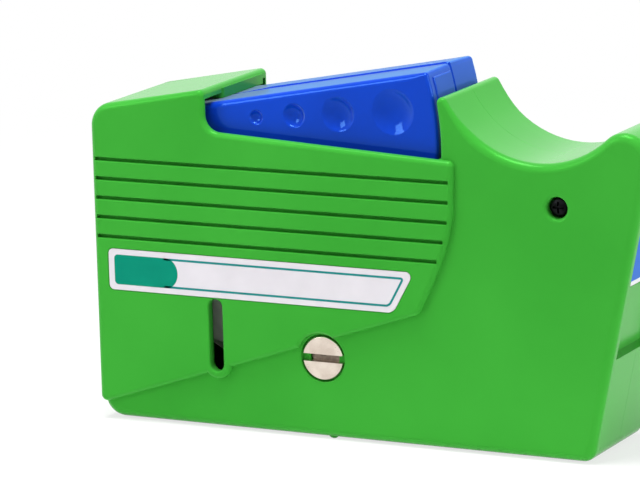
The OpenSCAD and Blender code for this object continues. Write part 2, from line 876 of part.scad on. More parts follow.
module window_plate() {
    mid_r = (nose_inner_r + recess_r) / 2;
    color("#d9dcdd") difference() {
        union() {
            face_block(
                nose_inner_r, recess_r,
                plate_low_s + plate_fit, plate_top_s - plate_fit, -plate_half_y, plate_half_y
            );
            face_block(
                mid_r - tongue_t / 2, mid_r + tongue_t / 2,
                plate_low_s - tongue_len, plate_top_s + tongue_len, -plate_half_y, plate_half_y
            );
        }
        for (y = [slot_bridge / 2, -slot_bridge / 2 - slot_w])
            face_block(nose_inner_r - over, recess_r + over, slot_low_s, slot_top_s, y, y + slot_w);
    }
}

module head_frame() {
    back_r = tape_face_r - pad_t;
    color("#3a3d40") {
        face_block(back_r - frame_t, back_r, pad_low_s, pad_top_s, -inner_y, pad_half_y);
        for (s = [pad_low_s - frame_t, pad_top_s])
            face_block(back_r - frame_t, back_r + pad_t / 3, s, s + frame_t, -pad_half_y, pad_half_y);
        face_block(
            back_r - frame_t - frame_foot_t, back_r,
            pad_low_s, pad_top_s, -inner_y, -inner_y + frame_foot_t
        );
    }
}

module head_pad() {
    color("#f1efe8") face_block(
        tape_face_r - pad_t, tape_face_r - tape_seat,
        pad_low_s, pad_top_s, -pad_half_y + slide_gap, pad_half_y - slide_gap
    );
}

module shutter() {
    s_mid = shutter_half_travel;
    color("#0a3fc4") difference() {
        union() {
            face_block(
                recess_r + slide_gap, recess_r + slide_gap + shutter_t,
                shutter_low_s, shutter_top_s, -recess_half_y + slide_gap, recess_half_y - slide_gap
            );
            face_block(
                recess_r + slide_gap, recess_r + rail_t,
                shutter_low_s, shutter_top_s,
                -recess_half_y - rail_w + slide_gap, recess_half_y + rail_w - slide_gap
            );
            face_block(
                shutter_swing_r - shutter_pin_r - 1, recess_r + slide_gap + shutter_t / 2,
                s_mid - tail_half_s, s_mid + tail_half_s, tail_in_y, tail_out_y
            );
        }
        face_block(
            shutter_swing_r - 3 * shutter_pin_r, shutter_swing_r + 2 * shutter_pin_r,
            s_mid - shutter_pin_r - fit, s_mid + shutter_pin_r + fit, tail_in_y - over, tail_out_y + over
        );
        for (s = [shutter_low_s + cover_margin : cover_margin : shutter_low_s + 3 * cover_margin])
            face_block(
                recess_r + shutter_t - slide_gap, face_r + over,
                s, s + cover_margin / 2, -recess_half_y / 2, recess_half_y / 2
            );
    }
}

// Half of the lever on the +Y side, without its bores
module lever_half() {
    difference() {
        rounded_slab(lever_outline, lever_split, lever_half_y, lever_round);
        slab(-over, lever_half_y - lever_wall) polygon([
            [lever_tail_x - over, pivot_z - 3 * lever_tail_r],
            [pivot_x + 2 * lever_reach, pivot_z - 3 * lever_tail_r],
            [pivot_x + 2 * lever_reach, end_wall_z],
            [lever_end_x() - lever_wall / 2, end_wall_z],
            [lever_end_x() - lever_wall, lever_top_at(lever_end_x() - lever_wall) - lever_wall],
            [lever_tail_x - over, lever_top_at(lever_tail_x - over) - lever_wall]
        ]);
        for (i = [0 : len(dimple_r) - 1]) dimple(dimple_places_share[i], dimple_r[i]);
    }
    rod(pivot, lever_hub_r, lever_split, lever_half_y - lever_wall / 2);
    intersection() {
        translate([spring_c.x, 0, spring_pad_z]) cylinder(r = spring_pad_r, h = lever_rise);
        slab(lever_split, lever_half_y) polygon(lever_outline);
    }
}

// Hollow of a sphere in the lever's side; its place is a share of the reach from the hinge
module dimple(place, r) {
    depth = r * dimple_depth_share;
    ball = (r * r + depth * depth) / (2 * depth);
    translate([pivot_x + place.x * lever_reach, lever_half_y - depth + ball, pivot_z + place.y * lever_reach])
        sphere(r = ball);
}

module lever_front_half() {
    color("#0a40c8") difference() {
        mirror([0, 1, 0]) lever_half();
        rod(pivot, lever_pin_r + fit, -lever_half_y - over, over);
        rod(drive_pivot, small_pin_r + fit, -lever_half_y + lever_wall / 2, over);
    }
    color("#0a40c8") end_pad();
}

// Pad that stands a little proud of the front moulding's free end
module end_pad() {
    low = rise_angle(end_wall_z + end_pad_root, lever_reach);
    top = rise_angle(lever_top_at(lever_end_x()) - end_pad_drop, lever_reach);
    step = (top - low) / end_pad_steps;
    slab(-lever_half_y + end_pad_side, -end_pad_gap) polygon(concat(
        [for (k = [0 : end_pad_steps]) polar(pivot, lever_reach + end_pad_proud, low + k * step)],
        [for (k = [0 : end_pad_steps]) polar(pivot, lever_reach - end_pad_root, top - k * step)]
    ));
}

module lever_rear_half() {
    root = arm_place(arm_root_share);
    knee = arm_place(arm_knee_share);
    tip = polar(pivot, shutter_swing_r, -nose_lean + lever_travel / 2);
    color("#0a3dc0") difference() {
        union() {
            lever_half();
            slab(arm_in_y, lever_half_y) {
                bar(root, knee, arm_w);
                bar(knee, tip, arm_w);
            }
            rod(tip, shutter_pin_r, tail_in_y - slide_gap, arm_in_y + arm_t / 2);
        }
        rod(pivot, lever_pin_r + fit, -over, lever_half_y + over);
    }
}

// Place on the shutter arm, as shares of the reach from the hinge
function arm_place(share) = pivot + share * lever_reach;

// Flat bar with round ends between two points
module bar(a, b, w) {
    translate(a) circle(r = w / 2);
    translate(b) circle(r = w / 2);
    translate(a) rotate(heading(a, b)) translate([0, -w / 2]) square([norm(b - a), w]);
}

module lever_pin() {
    color("#b9bcc0") rod(pivot, lever_pin_r, -inner_y, inner_y);
}

module lever_spring() {
    z0 = shelf_top_z + slide_gap;
    color("#c4c6c8") translate([spring_c.x, 0, z0]) difference() {
        cylinder(r = spring_r, h = spring_pad_z - swing_gap - z0);
        translate([0, 0, -over]) cylinder(r = spring_r - spring_wire, h = spring_pad_z - z0 + over);
    }
}

// Pawl from its pin at p to its tip at q
module pawl(p, q) {
    a = heading(p, q);
    tip = q - pawl_tip_r * [cos(a), sin(a)];
    n = [-sin(a), cos(a)];
    difference() {
        union() {
            rod(p, pawl_root_r, pawl_in_y - pawl_out_y, 0);
            slab(pawl_in_y - pawl_out_y, 0) polygon([
                p + n * pawl_root_r / 2, p - n * pawl_root_r / 2, tip - n * pawl_tip_r, tip + n * pawl_tip_r
            ]);
            rod(tip, pawl_tip_r, pawl_in_y - pawl_out_y, 0);
        }
        rod(p, small_pin_r + fit, -pawl_out_y, over);
    }
}

// Small torsion spring round a pawl's pin, drawn as its closed coil with one leg along the pawl
module pawl_spring(p, q) {
    a = heading(p, q);
    n = [-sin(a), cos(a)];
    leg = small_pin_r + slide_gap;
    difference() {
        union() {
            rod(p, pawl_spring_r, 0, pawl_spring_t);
            slab(0, pawl_spring_t / 2) polygon([
                p + n * leg, p + n * pawl_spring_r,
                p + n * pawl_spring_r + [cos(a), sin(a)] * pawl_spring_leg,
                p + n * leg + [cos(a), sin(a)] * pawl_spring_leg
            ]);
        }
        rod(p, small_pin_r + fit, -over, pawl_spring_t + over);
    }
}

module drive_pawl() {
    color("#e8e6df") translate([0, -pawl_in_y, 0]) pawl(drive_pivot, drive_tip);
}

module drive_pawl_pin() {
    color("#b9bcc0") rod(drive_pivot, small_pin_r, -lever_half_y + lever_wall / 2, -reel_half_y - slide_gap);
}

module drive_pawl_spring() {
    color("#c4c6c8") translate([0, -pawl_in_y, 0]) pawl_spring(drive_pivot, drive_tip);
}

module holding_pawl() {
    color("#e8e6df") translate([0, -pawl_in_y, 0]) pawl(holding_pivot, holding_tip);
}

module holding_pawl_pin() {
    color("#b9bcc0") rod(holding_pivot, small_pin_r, -inner_y, -reel_half_y - slide_gap);
}

module holding_pawl_spring() {
    color("#c4c6c8") translate([0, -pawl_in_y, 0]) pawl_spring(holding_pivot, holding_tip);
}

module ratchet_wheel() {
    step = 360 / ratchet_teeth;
    color("#dcdad2") difference() {
        slab(-ratchet_out_y, -ratchet_in_y) polygon([
            for (i = [0 : ratchet_teeth - 1])
                each [
                    polar(takeup_c, ratchet_r - tooth_depth, i * step),
                    polar(takeup_c, ratchet_r, i * step)
                ]
        ]);
        rod(takeup_c, hub_r + fit, -ratchet_out_y - over, -ratchet_in_y + over);
    }
}

// Flange with three round windows
module flange(c, y0) {
    difference() {
        rod(c, flange_r, y0, y0 + flange_t);
        for (a = [90, 210, 330])
            rod(polar(c, (core_r + flange_r) / 2, a), core_r / 2, y0 - over, y0 + flange_t + over);
    }
}

module supply_reel() {
    color("#2b2d30") difference() {
        union() {
            rod(supply_c, core_r, -reel_half_y, reel_half_y);
            flange(supply_c, reel_half_y - flange_t);
        }
        rod(supply_c, axle_r + fit, -reel_half_y - over, reel_half_y + over);
    }
}

// Tape wound on a reel's core
module roll(c, r) {
    tube(c, r, core_r + fit, -tape_w / 2, tape_w / 2);
}

module supply_roll() {
    color("#5c5f63") roll(supply_c, supply_roll_r);
}

module supply_axle() {
    color("#b9bcc0") rod(supply_c, axle_r, -inner_y, inner_y);
}

module takeup_reel() {
    color("#2b2d30") difference() {
        union() {
            rod(takeup_c, core_r, -ratchet_in_y, reel_half_y);
            rod(takeup_c, hub_r, -ratchet_out_y, -ratchet_in_y);
            flange(takeup_c, reel_half_y - flange_t);
            flange(takeup_c, -reel_half_y);
        }
        rod(takeup_c, axle_r + fit, -ratchet_out_y - over, reel_half_y + over);
    }
}

module takeup_roll() {
    color("#8d8f90") roll(takeup_c, takeup_roll_r);
}

module takeup_axle() {
    color("#b9bcc0") rod(takeup_c, axle_r, -inner_y, inner_y);
}

// Washer round an axle, just outside a face at y
module washer(c, y) {
    tube(c, boss_r, axle_r + fit, y + washer_gap, y + washer_gap + washer_t);
}

module thrust_washers() {
    color("#e3e1d8") {
        mirror([0, 1, 0]) washer(supply_c, reel_half_y);
        mirror([0, 1, 0]) washer(takeup_c, ratchet_out_y);
        washer(takeup_c, reel_half_y);
    }
}

module brake_washer() {
    color("#a03a2e") washer(supply_c, reel_half_y);
}

// Guide roller with small end flanges
module guide_roller(c) {
    color("#d6d4cc") difference() {
        union() {
            rod(c, roller_r, -reel_half_y, reel_half_y);
            for (y = [-reel_half_y, tape_w / 2 + slide_gap])
                rod(c, roller_r + roller_lip, y, y + reel_half_y - tape_w / 2 - slide_gap);
        }
        rod(c, small_pin_r + fit, -reel_half_y - over, reel_half_y + over);
    }
}

module guide_roller_low() {
    guide_roller(roller_low_c);
}

module guide_roller_corner() {
    guide_roller(roller_corner_c);
}

module guide_roller_top() {
    guide_roller(roller_top_c);
}

module roller_axles() {
    color("#b9bcc0") for (c = [roller_low_c, roller_corner_c, roller_top_c])
        rod(c, small_pin_r, -inner_y, inner_y);
}

module tape_run() {
    out = tape_line(tape_seat + tape_t);
    in = tape_line(tape_seat);
    color("#efeeea") slab(-tape_w / 2, tape_w / 2)
        polygon(concat(out, [for (i = [len(in) - 1 : -1 : 0]) in[i]]));
}

place() front_shell();
place() rear_shell();
place() front_label();
place() coin_screw();
place() coin_nut();
place() nose_screw();
place() window_plate();
place() head_frame();
place() head_pad();
place() shutter();
place() lever_front_half();
place() lever_rear_half();
place() lever_pin();
place() lever_spring();
place() drive_pawl();
place() drive_pawl_pin();
place() drive_pawl_spring();
place() holding_pawl();
place() holding_pawl_pin();
place() holding_pawl_spring();
place() ratchet_wheel();
place() supply_reel();
place() supply_roll();
place() supply_axle();
place() takeup_reel();
place() takeup_roll();
place() takeup_axle();
place() thrust_washers();
place() brake_washer();
place() guide_roller_low();
place() guide_roller_corner();
place() guide_roller_top();
place() roller_axles();
place() tape_run();
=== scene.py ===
from math import acos, asin, atan2, ceil, cos, degrees, pi, radians, sin, sqrt, tan

import bpy
import bmesh
from mathutils import Matrix, Vector


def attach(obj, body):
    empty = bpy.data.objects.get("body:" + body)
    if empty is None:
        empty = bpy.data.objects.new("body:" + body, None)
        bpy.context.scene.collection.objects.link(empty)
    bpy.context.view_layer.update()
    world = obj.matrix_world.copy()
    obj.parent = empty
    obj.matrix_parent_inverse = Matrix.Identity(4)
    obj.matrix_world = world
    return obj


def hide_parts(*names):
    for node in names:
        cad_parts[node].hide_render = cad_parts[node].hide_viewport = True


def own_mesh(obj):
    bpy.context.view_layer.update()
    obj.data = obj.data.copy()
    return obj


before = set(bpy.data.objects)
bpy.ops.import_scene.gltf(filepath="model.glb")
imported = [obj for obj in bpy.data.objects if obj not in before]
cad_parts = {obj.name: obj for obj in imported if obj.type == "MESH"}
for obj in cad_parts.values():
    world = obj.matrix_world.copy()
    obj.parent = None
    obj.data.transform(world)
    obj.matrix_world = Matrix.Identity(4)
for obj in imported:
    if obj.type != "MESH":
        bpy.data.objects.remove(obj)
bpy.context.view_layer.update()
print("frame loaded")

mm = 0.001
fit = 0.03  # how much wider a bore is drawn than what runs in it

# The case in mm and degrees: x from the flat back end, z from the flat bottom edge
case = dict(
    length=136.0, height=78.9, sideY=14.5, gripY=16.0, wall=2.2, innerY=12.3, backHeight=72.5, lipX=29.3,
    notchZ=68.3, notchFall=2.98, nubDrop=0.4, noseHeight=73.4, noseRadius=6.0, noseLean=12.0,
    scoopRadius=24.0, crestTip=1.3, leverTravel=10.2, pivot=(27.0, 67.5), crestRadius=60.0, heelR=5.0,
    toeR=3.0, notchR=3.8, lipR=1.3, backR=5.5,
)
# What is hollowed out of it: the nose's recess with its rails and window, and the inside
recess = dict(
    depth=2.2, wall=1.9, lowS=-22.8, topS=14.3, halfY=11.5, railW=1.1, railT=1.2, windowLow=-8,
    windowTop=17, windowHalfY=7.25, windowDeep=5,
)
hollow = dict(backR=2.8, toeR=0.8, noseR=2.0, roofR=3.3, crestGap=0.1, crestFoot=0.8, high=90.0)
sideY, gripY, innerY, wall, crestR = (case[k] for k in ("sideY", "gripY", "innerY", "wall", "crestRadius"))
pivot = Vector(case["pivot"])
slope = tan(radians(case["leverTravel"]))
leanCos, leanSin = cos(radians(case["noseLean"])), sin(radians(case["noseLean"]))


def toFrame(x, y, z):
    return Vector(((x - case["length"] / 2) * mm, y * mm, (z + case["nubDrop"]) * mm))


# Outlines in the XZ plane


def ringAt(points, y):
    return [toFrame(p[0], y, p[1]) for p in points]


def polar(centre, radius, turn):
    a = radians(turn)
    return Vector((centre[0] + radius * cos(a), centre[1] + radius * sin(a)))


def heading(p, q):
    return degrees(atan2(q[1] - p[1], q[0] - p[0]))


def arc(centre, radius, start, end, step=5.0, last=True):
    count = max(2, ceil(abs(end - start) / step))
    return [polar(centre, radius, start + (end - start) * i / count) for i in range(count + last)]


def circle(centre, radius, step):
    return arc(centre, radius, 0, 360, step, last=False)


def fillet(a, b, c, radius):
    a, b, c = Vector(a), Vector(b), Vector(c)
    u, v = (a - b).normalized(), (c - b).normalized()
    half = acos(max(-1, min(1, u.dot(v)))) / 2
    middle = b + (u + v).normalized() * radius / sin(half)
    start = heading(middle, b + u * radius / tan(half))
    turn = (heading(middle, b + v * radius / tan(half)) - start + 540) % 360 - 180
    return arc(middle, radius, start, start + turn, 8)


def rounded(corners):
    # each corner is (x, z), or (x, z, radius) where it is round
    points = [Vector(c[:2]) for c in corners]
    outline = []
    for i, corner in enumerate(corners):
        if len(corner) > 2:
            outline += fillet(points[i - 1], points[i], points[(i + 1) % len(points)], corner[2])
        else:
            outline.append(points[i])
    return outline


def inset(points, depth):
    # depth is one number, or a list with one for each point
    depths = depth if isinstance(depth, list) else [depth] * len(points)
    inner = []
    for i, p in enumerate(points):
        e = (p - points[i - 1]).normalized()
        f = (points[(i + 1) % len(points)] - p).normalized()
        a, b = Vector((-e.y, e.x)), Vector((-f.y, f.x))
        inner.append(p + (a + b) * depths[i] / (1 + a.dot(b)))
    return inner


def quarter(steps):
    # a quarter round's two offsets at each step, both as shares of its radius
    angles = [radians(90 * k / steps) for k in range(steps + 1)]
    return [(1 - cos(a), 1 - sin(a)) for a in angles]


def fade(away, span):
    # smoothly from 0 to 1 over span, a start and a length
    t = max(0.0, min(1.0, (away - span[0]) / span[1]))
    return t * t * (3 - 2 * t)


def circleMeet(a, da, b, db):
    d = (b - a).length
    u = (b - a) / d
    along = (da * da - db * db + d * d) / (2 * d)
    off = sqrt(da * da - along * along)
    return a + u * along + Vector((-u.y, u.x)) * off


def facePoint(radius, up):
    # radius from the lever's hinge along the nose face's normal, up along the face
    return pivot + radius * Vector((leanCos, -leanSin)) + up * Vector((leanSin, leanCos))


def notchAt(x):
    return case["notchZ"] - (x - case["lipX"]) * tan(radians(case["notchFall"]))


def topAt(x):
    return pivot.y + lever["rise"] + (x - pivot.x) * slope


def roofAt(x):
    under = wall / cos(radians(case["leverTravel"]))
    return case["backHeight"] + x * slope - under


def riseAngle(z, radius):
    return degrees(asin((z - pivot.y) / radius))


tipR, scoopR, noseR = case["crestTip"], case["scoopRadius"], case["noseRadius"]
tipZ = case["height"] - tipR
crestTip = Vector((pivot.x + sqrt((crestR + tipR) ** 2 - (tipZ - pivot.y) ** 2), tipZ))
nose = Vector((case["length"] - noseR, case["noseHeight"] - noseR))
scoop = circleMeet(crestTip, scoopR + tipR, nose, scoopR + noseR)
faceR = (nose - pivot).dot(Vector((leanCos, -leanSin))) + noseR
foot = facePoint(faceR, 0)
lip = Vector((case["lipX"], case["backHeight"] + case["lipX"] * slope))
wellEnd = riseAngle(notchAt(pivot.x + crestR), crestR)
roofCorners = [
    (lip.x, case["notchZ"], case["notchR"]), (lip.x, lip.y, case["lipR"]),
    (0, case["backHeight"], case["backR"]),
]
caseOutline = rounded(
    [(0, 0, case["heelR"]), (foot.x - foot.y * leanSin / leanCos, 0, case["toeR"])]
    + arc(nose, noseR, -case["noseLean"], heading(nose, scoop), last=False)
    + arc(scoop, scoopR, heading(scoop, nose), heading(scoop, crestTip), last=False)
    + arc(crestTip, tipR, heading(crestTip, scoop), heading(pivot, crestTip) + 180, 12, last=False)
    + arc(pivot, crestR, heading(pivot, crestTip), wellEnd, 2)
    + roofCorners
)

# The raised grip panel. Its front edge bends back towards the lower corner, through places that
# are shares of the way between the panel's front corners.
grip = dict(
    frontX=90.5, cornerX=81.4, slope=18.4, backZ=3.15, backR=1.5, lowR=2.5, topR=1.3,
    bend=[(-0.924, 0.04), (0.011, 0.505), (-0.033, 0.743)], root=0.55, grooves=5, grooveTop=60.45,
    groovePitch=4.46, grooveWidth=0.8, grooveDepth=1.3, grooveBack=1.0, grooveFront=0.9, grooveLip=0.3,
    grooveFloor=0.2,
)
gripCornerZ = grip["backZ"] + grip["cornerX"] * tan(radians(grip["slope"]))
gripTopZ = notchAt(grip["frontX"])
bend = []
for along, rise in grip["bend"]:
    x = grip["frontX"] + along * (grip["frontX"] - grip["cornerX"])
    bend.append(Vector((x, gripCornerZ + rise * (gripTopZ - gripCornerZ))))
gripEdge = []
for i in range(17):
    t = i / 16
    gripEdge.append((1 - t) ** 2 * bend[0] + 2 * t * (1 - t) * bend[1] + t * t * bend[2])
gripOutline = rounded(
    [(0, grip["backZ"], grip["backR"]), (grip["cornerX"], gripCornerZ, grip["lowR"])]
    + gripEdge + [(grip["frontX"], gripTopZ, grip["topR"])] + roofCorners
)


def gripEdgeAt(z):
    edge = gripEdge + [Vector((grip["frontX"], gripTopZ))]
    for p, q in zip(edge, edge[1:]):
        if p.y <= z <= q.y:
            return p.x + (q.x - p.x) * (z - p.y) / (q.y - p.y)
    return grip["frontX"]


def cavityOutline():
    low = facePoint(faceR - recess["depth"] - recess["wall"], 0)
    lowX = low.x - (low.y - wall) * leanSin / leanCos
    topZ = case["noseHeight"] - wall
    topX = lowX + (topZ - wall) * leanSin / leanCos
    roofR = scoopR + wall
    reach = sqrt(roofR ** 2 - (scoop.y - topZ) ** 2)
    start = heading(scoop, Vector((scoop.x + reach, topZ)))
    wellR, outerR = crestR - hollow["crestGap"], crestR + wall
    footZ = notchAt(pivot.x + crestR) - hollow["crestFoot"]
    return rounded(
        [(wall, wall, hollow["backR"]), (lowX, wall, hollow["toeR"]), (topX, topZ, hollow["noseR"])]
        + arc(scoop, roofR, start, -180 - start)
        + arc(pivot, outerR, riseAngle(topZ, outerR), riseAngle(footZ, outerR), 3)
        + arc(pivot, wellR, riseAngle(footZ, wellR), riseAngle(hollow["high"], wellR), 3)
        + [(lip.x, hollow["high"]), (lip.x, roofAt(lip.x)), (wall, roofAt(wall), hollow["roofR"])]
    )


# Making meshes


def newPiece(name, verts, faces):
    mesh = bpy.data.meshes.new(name)
    mesh.from_pydata(verts, [], faces)
    mesh.update()
    bm = bmesh.new()
    bm.from_mesh(mesh)
    bmesh.ops.recalc_face_normals(bm, faces=bm.faces)
    if bm.calc_volume(signed=True) < 0:
        bmesh.ops.reverse_faces(bm, faces=bm.faces)
    bm.to_mesh(mesh)
    bm.free()
    piece = bpy.data.objects.new(name, mesh)
    bpy.context.scene.collection.objects.link(piece)
    return piece


def ringSolid(name, rings):
    # rings of frame points, each with the same count, closed by a face at either end
    count = len(rings[0])
    faces = [list(range(count))[::-1], [(len(rings) - 1) * count + i for i in range(count)]]
    for k in range(len(rings) - 1):
        for i in range(count):
            a, b = k * count + i, k * count + (i + 1) % count
            faces.append([a, b, b + count, a + count])
    return newPiece(name, [v for ring in rings for v in ring], faces)


def slab(name, outline, y0, y1, rounding=0.0, seam=0.0, steps=6):
    # outline thickened from y0 to y1, its edge at y1 rounded and at y0 chamfered by seam
    radii = [rounding(p) if callable(rounding) else rounding for p in outline]
    rings = [ringAt(inset(outline, seam), y0)] if seam else []
    rings.append(ringAt(outline, y0 + seam))
    if max(radii) > 0:
        for across, down in quarter(steps):
            inner = inset(outline, [r * across for r in radii])
            rings.append([toFrame(p.x, y1 - r * down, p.y) for p, r in zip(inner, radii)])
    else:
        rings.append(ringAt(outline, y1))
    return ringSolid(name, rings)


def ribbon(name, line, otherLine, y0, y1):
    # strip between two lines of points, thickened from y0 to y1
    pairs = zip(line, otherLine)
    return ringSolid(name, [ringAt((p, q), y0) + ringAt((q, p), y1) for p, q in pairs])


def lathe(name, centre, profile, segments=96, ring=False):
    # profile of (radius, y) pairs turned round an axis along Y; a ring has a bore through it
    verts, rings = [], []
    for radius, y in profile:
        count = 1 if radius < 1e-6 else segments
        rings.append(list(range(len(verts), len(verts) + count)))
        verts += ringAt([polar(centre, radius, 360 * i / count) for i in range(count)], y)
    pairs = list(zip(rings, rings[1:]))
    if ring:
        pairs.append((rings[-1], rings[0]))
    faces = []
    for low, high in pairs:
        for i in range(segments):
            j = (i + 1) % segments
            if len(low) == 1:
                faces.append([low[0], high[i], high[j]])
            elif len(high) == 1:
                faces.append([low[i], low[j], high[0]])
            else:
                faces.append([low[i], low[j], high[j], high[i]])
    return newPiece(name, verts, faces)


def pin(name, centre, radius, y0, y1):
    return lathe(name, centre, [(0, y0), (radius, y0), (radius, y1), (0, y1)], 48)


def collar(name, centre, radius, bore, y0, y1):
    return lathe(name, centre, [(bore, y0), (radius, y0), (radius, y1), (bore, y1)], 48, ring=True)


def uprightSolid(name, points, heights):
    return ringSolid(name, [[toFrame(p.x, p.y, z) for p in points] for z in heights])


def upright(name, centre, radius, z0, z1, fromY=None):
    # round post along Z at (x, y), or the half of it that lies beyond fromY
    points = circle(centre, radius, 7.5)
    if fromY is not None:
        points = arc(centre, radius, 0, 180, 8)
        points[0].y = points[-1].y = fromY
    return uprightSolid(name, points, (z0, z1))


def box(name, centre, width, height, y0, y1):
    (x, z), w, h = centre, width / 2, height / 2
    return slab(name, [(x - w, z - h), (x + w, z - h), (x + w, z + h), (x - w, z + h)], y0, y1)


def faceBlock(name, r0, r1, s0, s1, y0, y1):
    # block square to the nose's face
    return slab(name, [facePoint(r0, s0), facePoint(r1, s0), facePoint(r1, s1), facePoint(r0, s1)], y0, y1)


def barOutline(a, b, width):
    turn = heading(a, b)
    near = arc(a, width / 2, turn + 90, turn + 270, 12)
    return arc(b, width / 2, turn - 90, turn + 90, 12) + near


def mirrored(piece):
    # the same piece on the other side of the middle plane
    piece.data.transform(Matrix.Scale(-1, 4, (0, 1, 0)))
    piece.data.flip_normals()
    return piece


def boolean(piece, other, operation):
    # worked at a thousand times the size, where the solver is surest, and cleaned of slivers
    sliver = 0.0004
    for part in (piece, other):
        part.data.transform(Matrix.Scale(1000, 4))
    step = piece.modifiers.new("step", "BOOLEAN")
    step.operation = operation
    step.solver = "EXACT"
    step.object = other
    graph = bpy.context.evaluated_depsgraph_get()
    mesh = bpy.data.meshes.new_from_object(piece.evaluated_get(graph))
    piece.modifiers.remove(step)
    bm = bmesh.new()
    bm.from_mesh(mesh)
    bmesh.ops.remove_doubles(bm, verts=bm.verts, dist=sliver)
    bmesh.ops.dissolve_degenerate(bm, edges=bm.edges, dist=sliver)
    bm.to_mesh(mesh)
    bm.free()
    mesh.transform(Matrix.Scale(0.001, 4))
    old, cutterMesh = piece.data, other.data
    piece.data = mesh
    mesh.name = piece.name
    bpy.data.meshes.remove(old)
    bpy.data.objects.remove(other)
    bpy.data.meshes.remove(cutterMesh)


def cut(piece, *cutters):
    for cutter in cutters:
        boolean(piece, cutter, "DIFFERENCE")


def join(piece, *others):
    for other in others:
        boolean(piece, other, "UNION")


def finish(piece, material, node=None, body="case", angle=32):
    # node is the CAD node that the piece stands for; edges that turn by more than angle stay crisp
    piece.data.materials.clear()
    piece.data.materials.append(material)
    piece.data.shade_smooth()
    piece.data.set_sharp_from_angle(angle=radians(angle))
    weight = piece.modifiers.new("weighted", "WEIGHTED_NORMAL")
    weight.keep_sharp = True
    weight.weight = 80
    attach(piece, body)
    if node:
        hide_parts(node)


# Materials: colours as sRGB hex, pattern sizes and relief in mm. A texture's scale is 1000 over its
# pattern's size, since a node's coordinates are metres.


def linear(code):
    values = [int(code[i:i + 2], 16) / 255 for i in (1, 3, 5)]
    return tuple(v / 12.92 if v <= 0.04045 else ((v + 0.055) / 1.055) ** 2.4 for v in values) + (1.0,)


def addNode(tree, kind, values=None, links=None, **settings):
    # a link from a node takes its first output
    node = tree.nodes.new("ShaderNode" + kind)
    for key, value in settings.items():
        setattr(node, key, value)
    for socket, value in (values or {}).items():
        node.inputs[socket].default_value = value
    for socket, source in (links or {}).items():
        tree.links.new(getattr(source, "outputs", [source])[0], node.inputs[socket])
    return node


def startMaterial(name):
    material = bpy.data.materials.new(name)
    material.use_nodes = True
    tree = material.node_tree
    tree.nodes.clear()
    place = addNode(tree, "TexCoord")
    return material, tree, place.outputs["Object"]


def closeSurface(tree, look, spots, tone, grain, values):
    # colour between two tones by one pattern, relief and, if it varies, roughness by another
    ramp = addNode(tree, "ValToRGB", links={"Fac": tone})
    for end, spot, code in zip(ramp.color_ramp.elements, spots, look["tones"]):
        end.position = spot
        end.color = linear(code)
    strength, depth = look["bump"]
    bump = addNode(tree, "Bump", {"Strength": strength, "Distance": depth * mm}, {"Height": grain})
    links = {"Base Color": ramp, "Normal": bump}
    if "rough" in look:
        low, high = look["rough"]
        ends = {"From Min": 0.3, "From Max": 0.7, "To Min": low, "To Max": high}
        links["Roughness"] = addNode(tree, "MapRange", ends, {"Value": grain})
    addNode(tree, "OutputMaterial", links={"Surface": addNode(tree, "BsdfPrincipled", values, links)})


def moulded(name, **look):
    # flat colour with a faint drift from the melt's flow, and the fine grain of the mould's face
    material, tree, place = startMaterial(name)
    flow = {"Scale": 1000 / look["flowMm"], "Detail": 2.0, "Roughness": 0.5}
    grain = {"Scale": 1000 / look["grainMm"], "Detail": 3.0, "Roughness": 0.6}
    flow, grain = (addNode(tree, "TexNoise", pattern, {"Vector": place}) for pattern in (flow, grain))
    closeSurface(tree, look, (0.3, 0.7), flow, grain, look["shader"])
    return material


# ABS, moulded against a lightly blasted tool: satin, colour all through, soft highlights tinted green
greenAbs = moulded("green ABS, satin moulded", tones=("#379a32", "#3da237"), flowMm=35,
    grainMm=0.35, rough=(0.2, 0.27), bump=(0.2, 0.015),
    shader={"IOR": 1.54, "Specular Tint": linear("#3fd030"), "Specular IOR Level": 0.32})
# The same resin against a polished tool: narrow highlights, and a faint bloom that keeps flat angles
# a clean blue where a plain gloss would turn them purple
blueAbs = moulded("blue ABS, polished moulded", tones=("#0436b0", "#053dc0"), flowMm=25,
    grainMm=0.6, rough=(0.05, 0.08), bump=(0.04, 0.015),
    shader={"IOR": 1.54, "Specular Tint": linear("#98c4ff"), "Specular IOR Level": 0.45,
            "Sheen Weight": 1.0, "Sheen Roughness": 0.33, "Sheen Tint": linear("#c8f2ff"),
            "Coat Weight": 1.0, "Coat IOR": 1.0, "Coat Tint": linear("#caf2ff")})
# Acetal, as cut from the mould: milky, waxy sheen
acetal = moulded("white acetal, moulded", tones=("#dedbd2", "#e8e5dd"), flowMm=10, grainMm=0.4,
    rough=(0.3, 0.38), bump=(0.1, 0.01), shader={"IOR": 1.48})
# ABS in dark grey, for the parts inside: dull and a little grainy
darkAbs = moulded("dark ABS, satin moulded", tones=("#242628", "#2d2f32"), flowMm=15,
    grainMm=0.35, rough=(0.4, 0.5), bump=(0.2, 0.02), shader={"IOR": 1.54})
# And in light grey, for the plate round the cleaning slots: an even satin
greyAbs = moulded("light grey ABS, satin moulded", tones=("#cfd2d3", "#dadcdd"), flowMm=15,
    grainMm=0.3, rough=(0.34, 0.42), bump=(0.15, 0.02), shader={"IOR": 1.54})
# Polyester film with a printed face: flat colour under a thin clear gloss
labelWhite = moulded("white polyester film", tones=("#d3ced5", "#dad5dc"), flowMm=8, grainMm=0.5,
    rough=(0.28, 0.34), bump=(0.08, 0.01), shader={"IOR": 1.57})
# Its inks: dense and even, with highlights of their own colour
inkLook = dict(flowMm=6, grainMm=0.4, rough=(0.3, 0.36), bump=(0.1, 0.01),
    shader={"IOR": 1.57, "Specular Tint": linear("#20a080")})
labelTeal = moulded("teal ink on film", tones=("#048069", "#06886f"), **inkLook)
labelLine = moulded("dark teal ink on film", tones=("#1c7c7c", "#208484"), **inkLook)
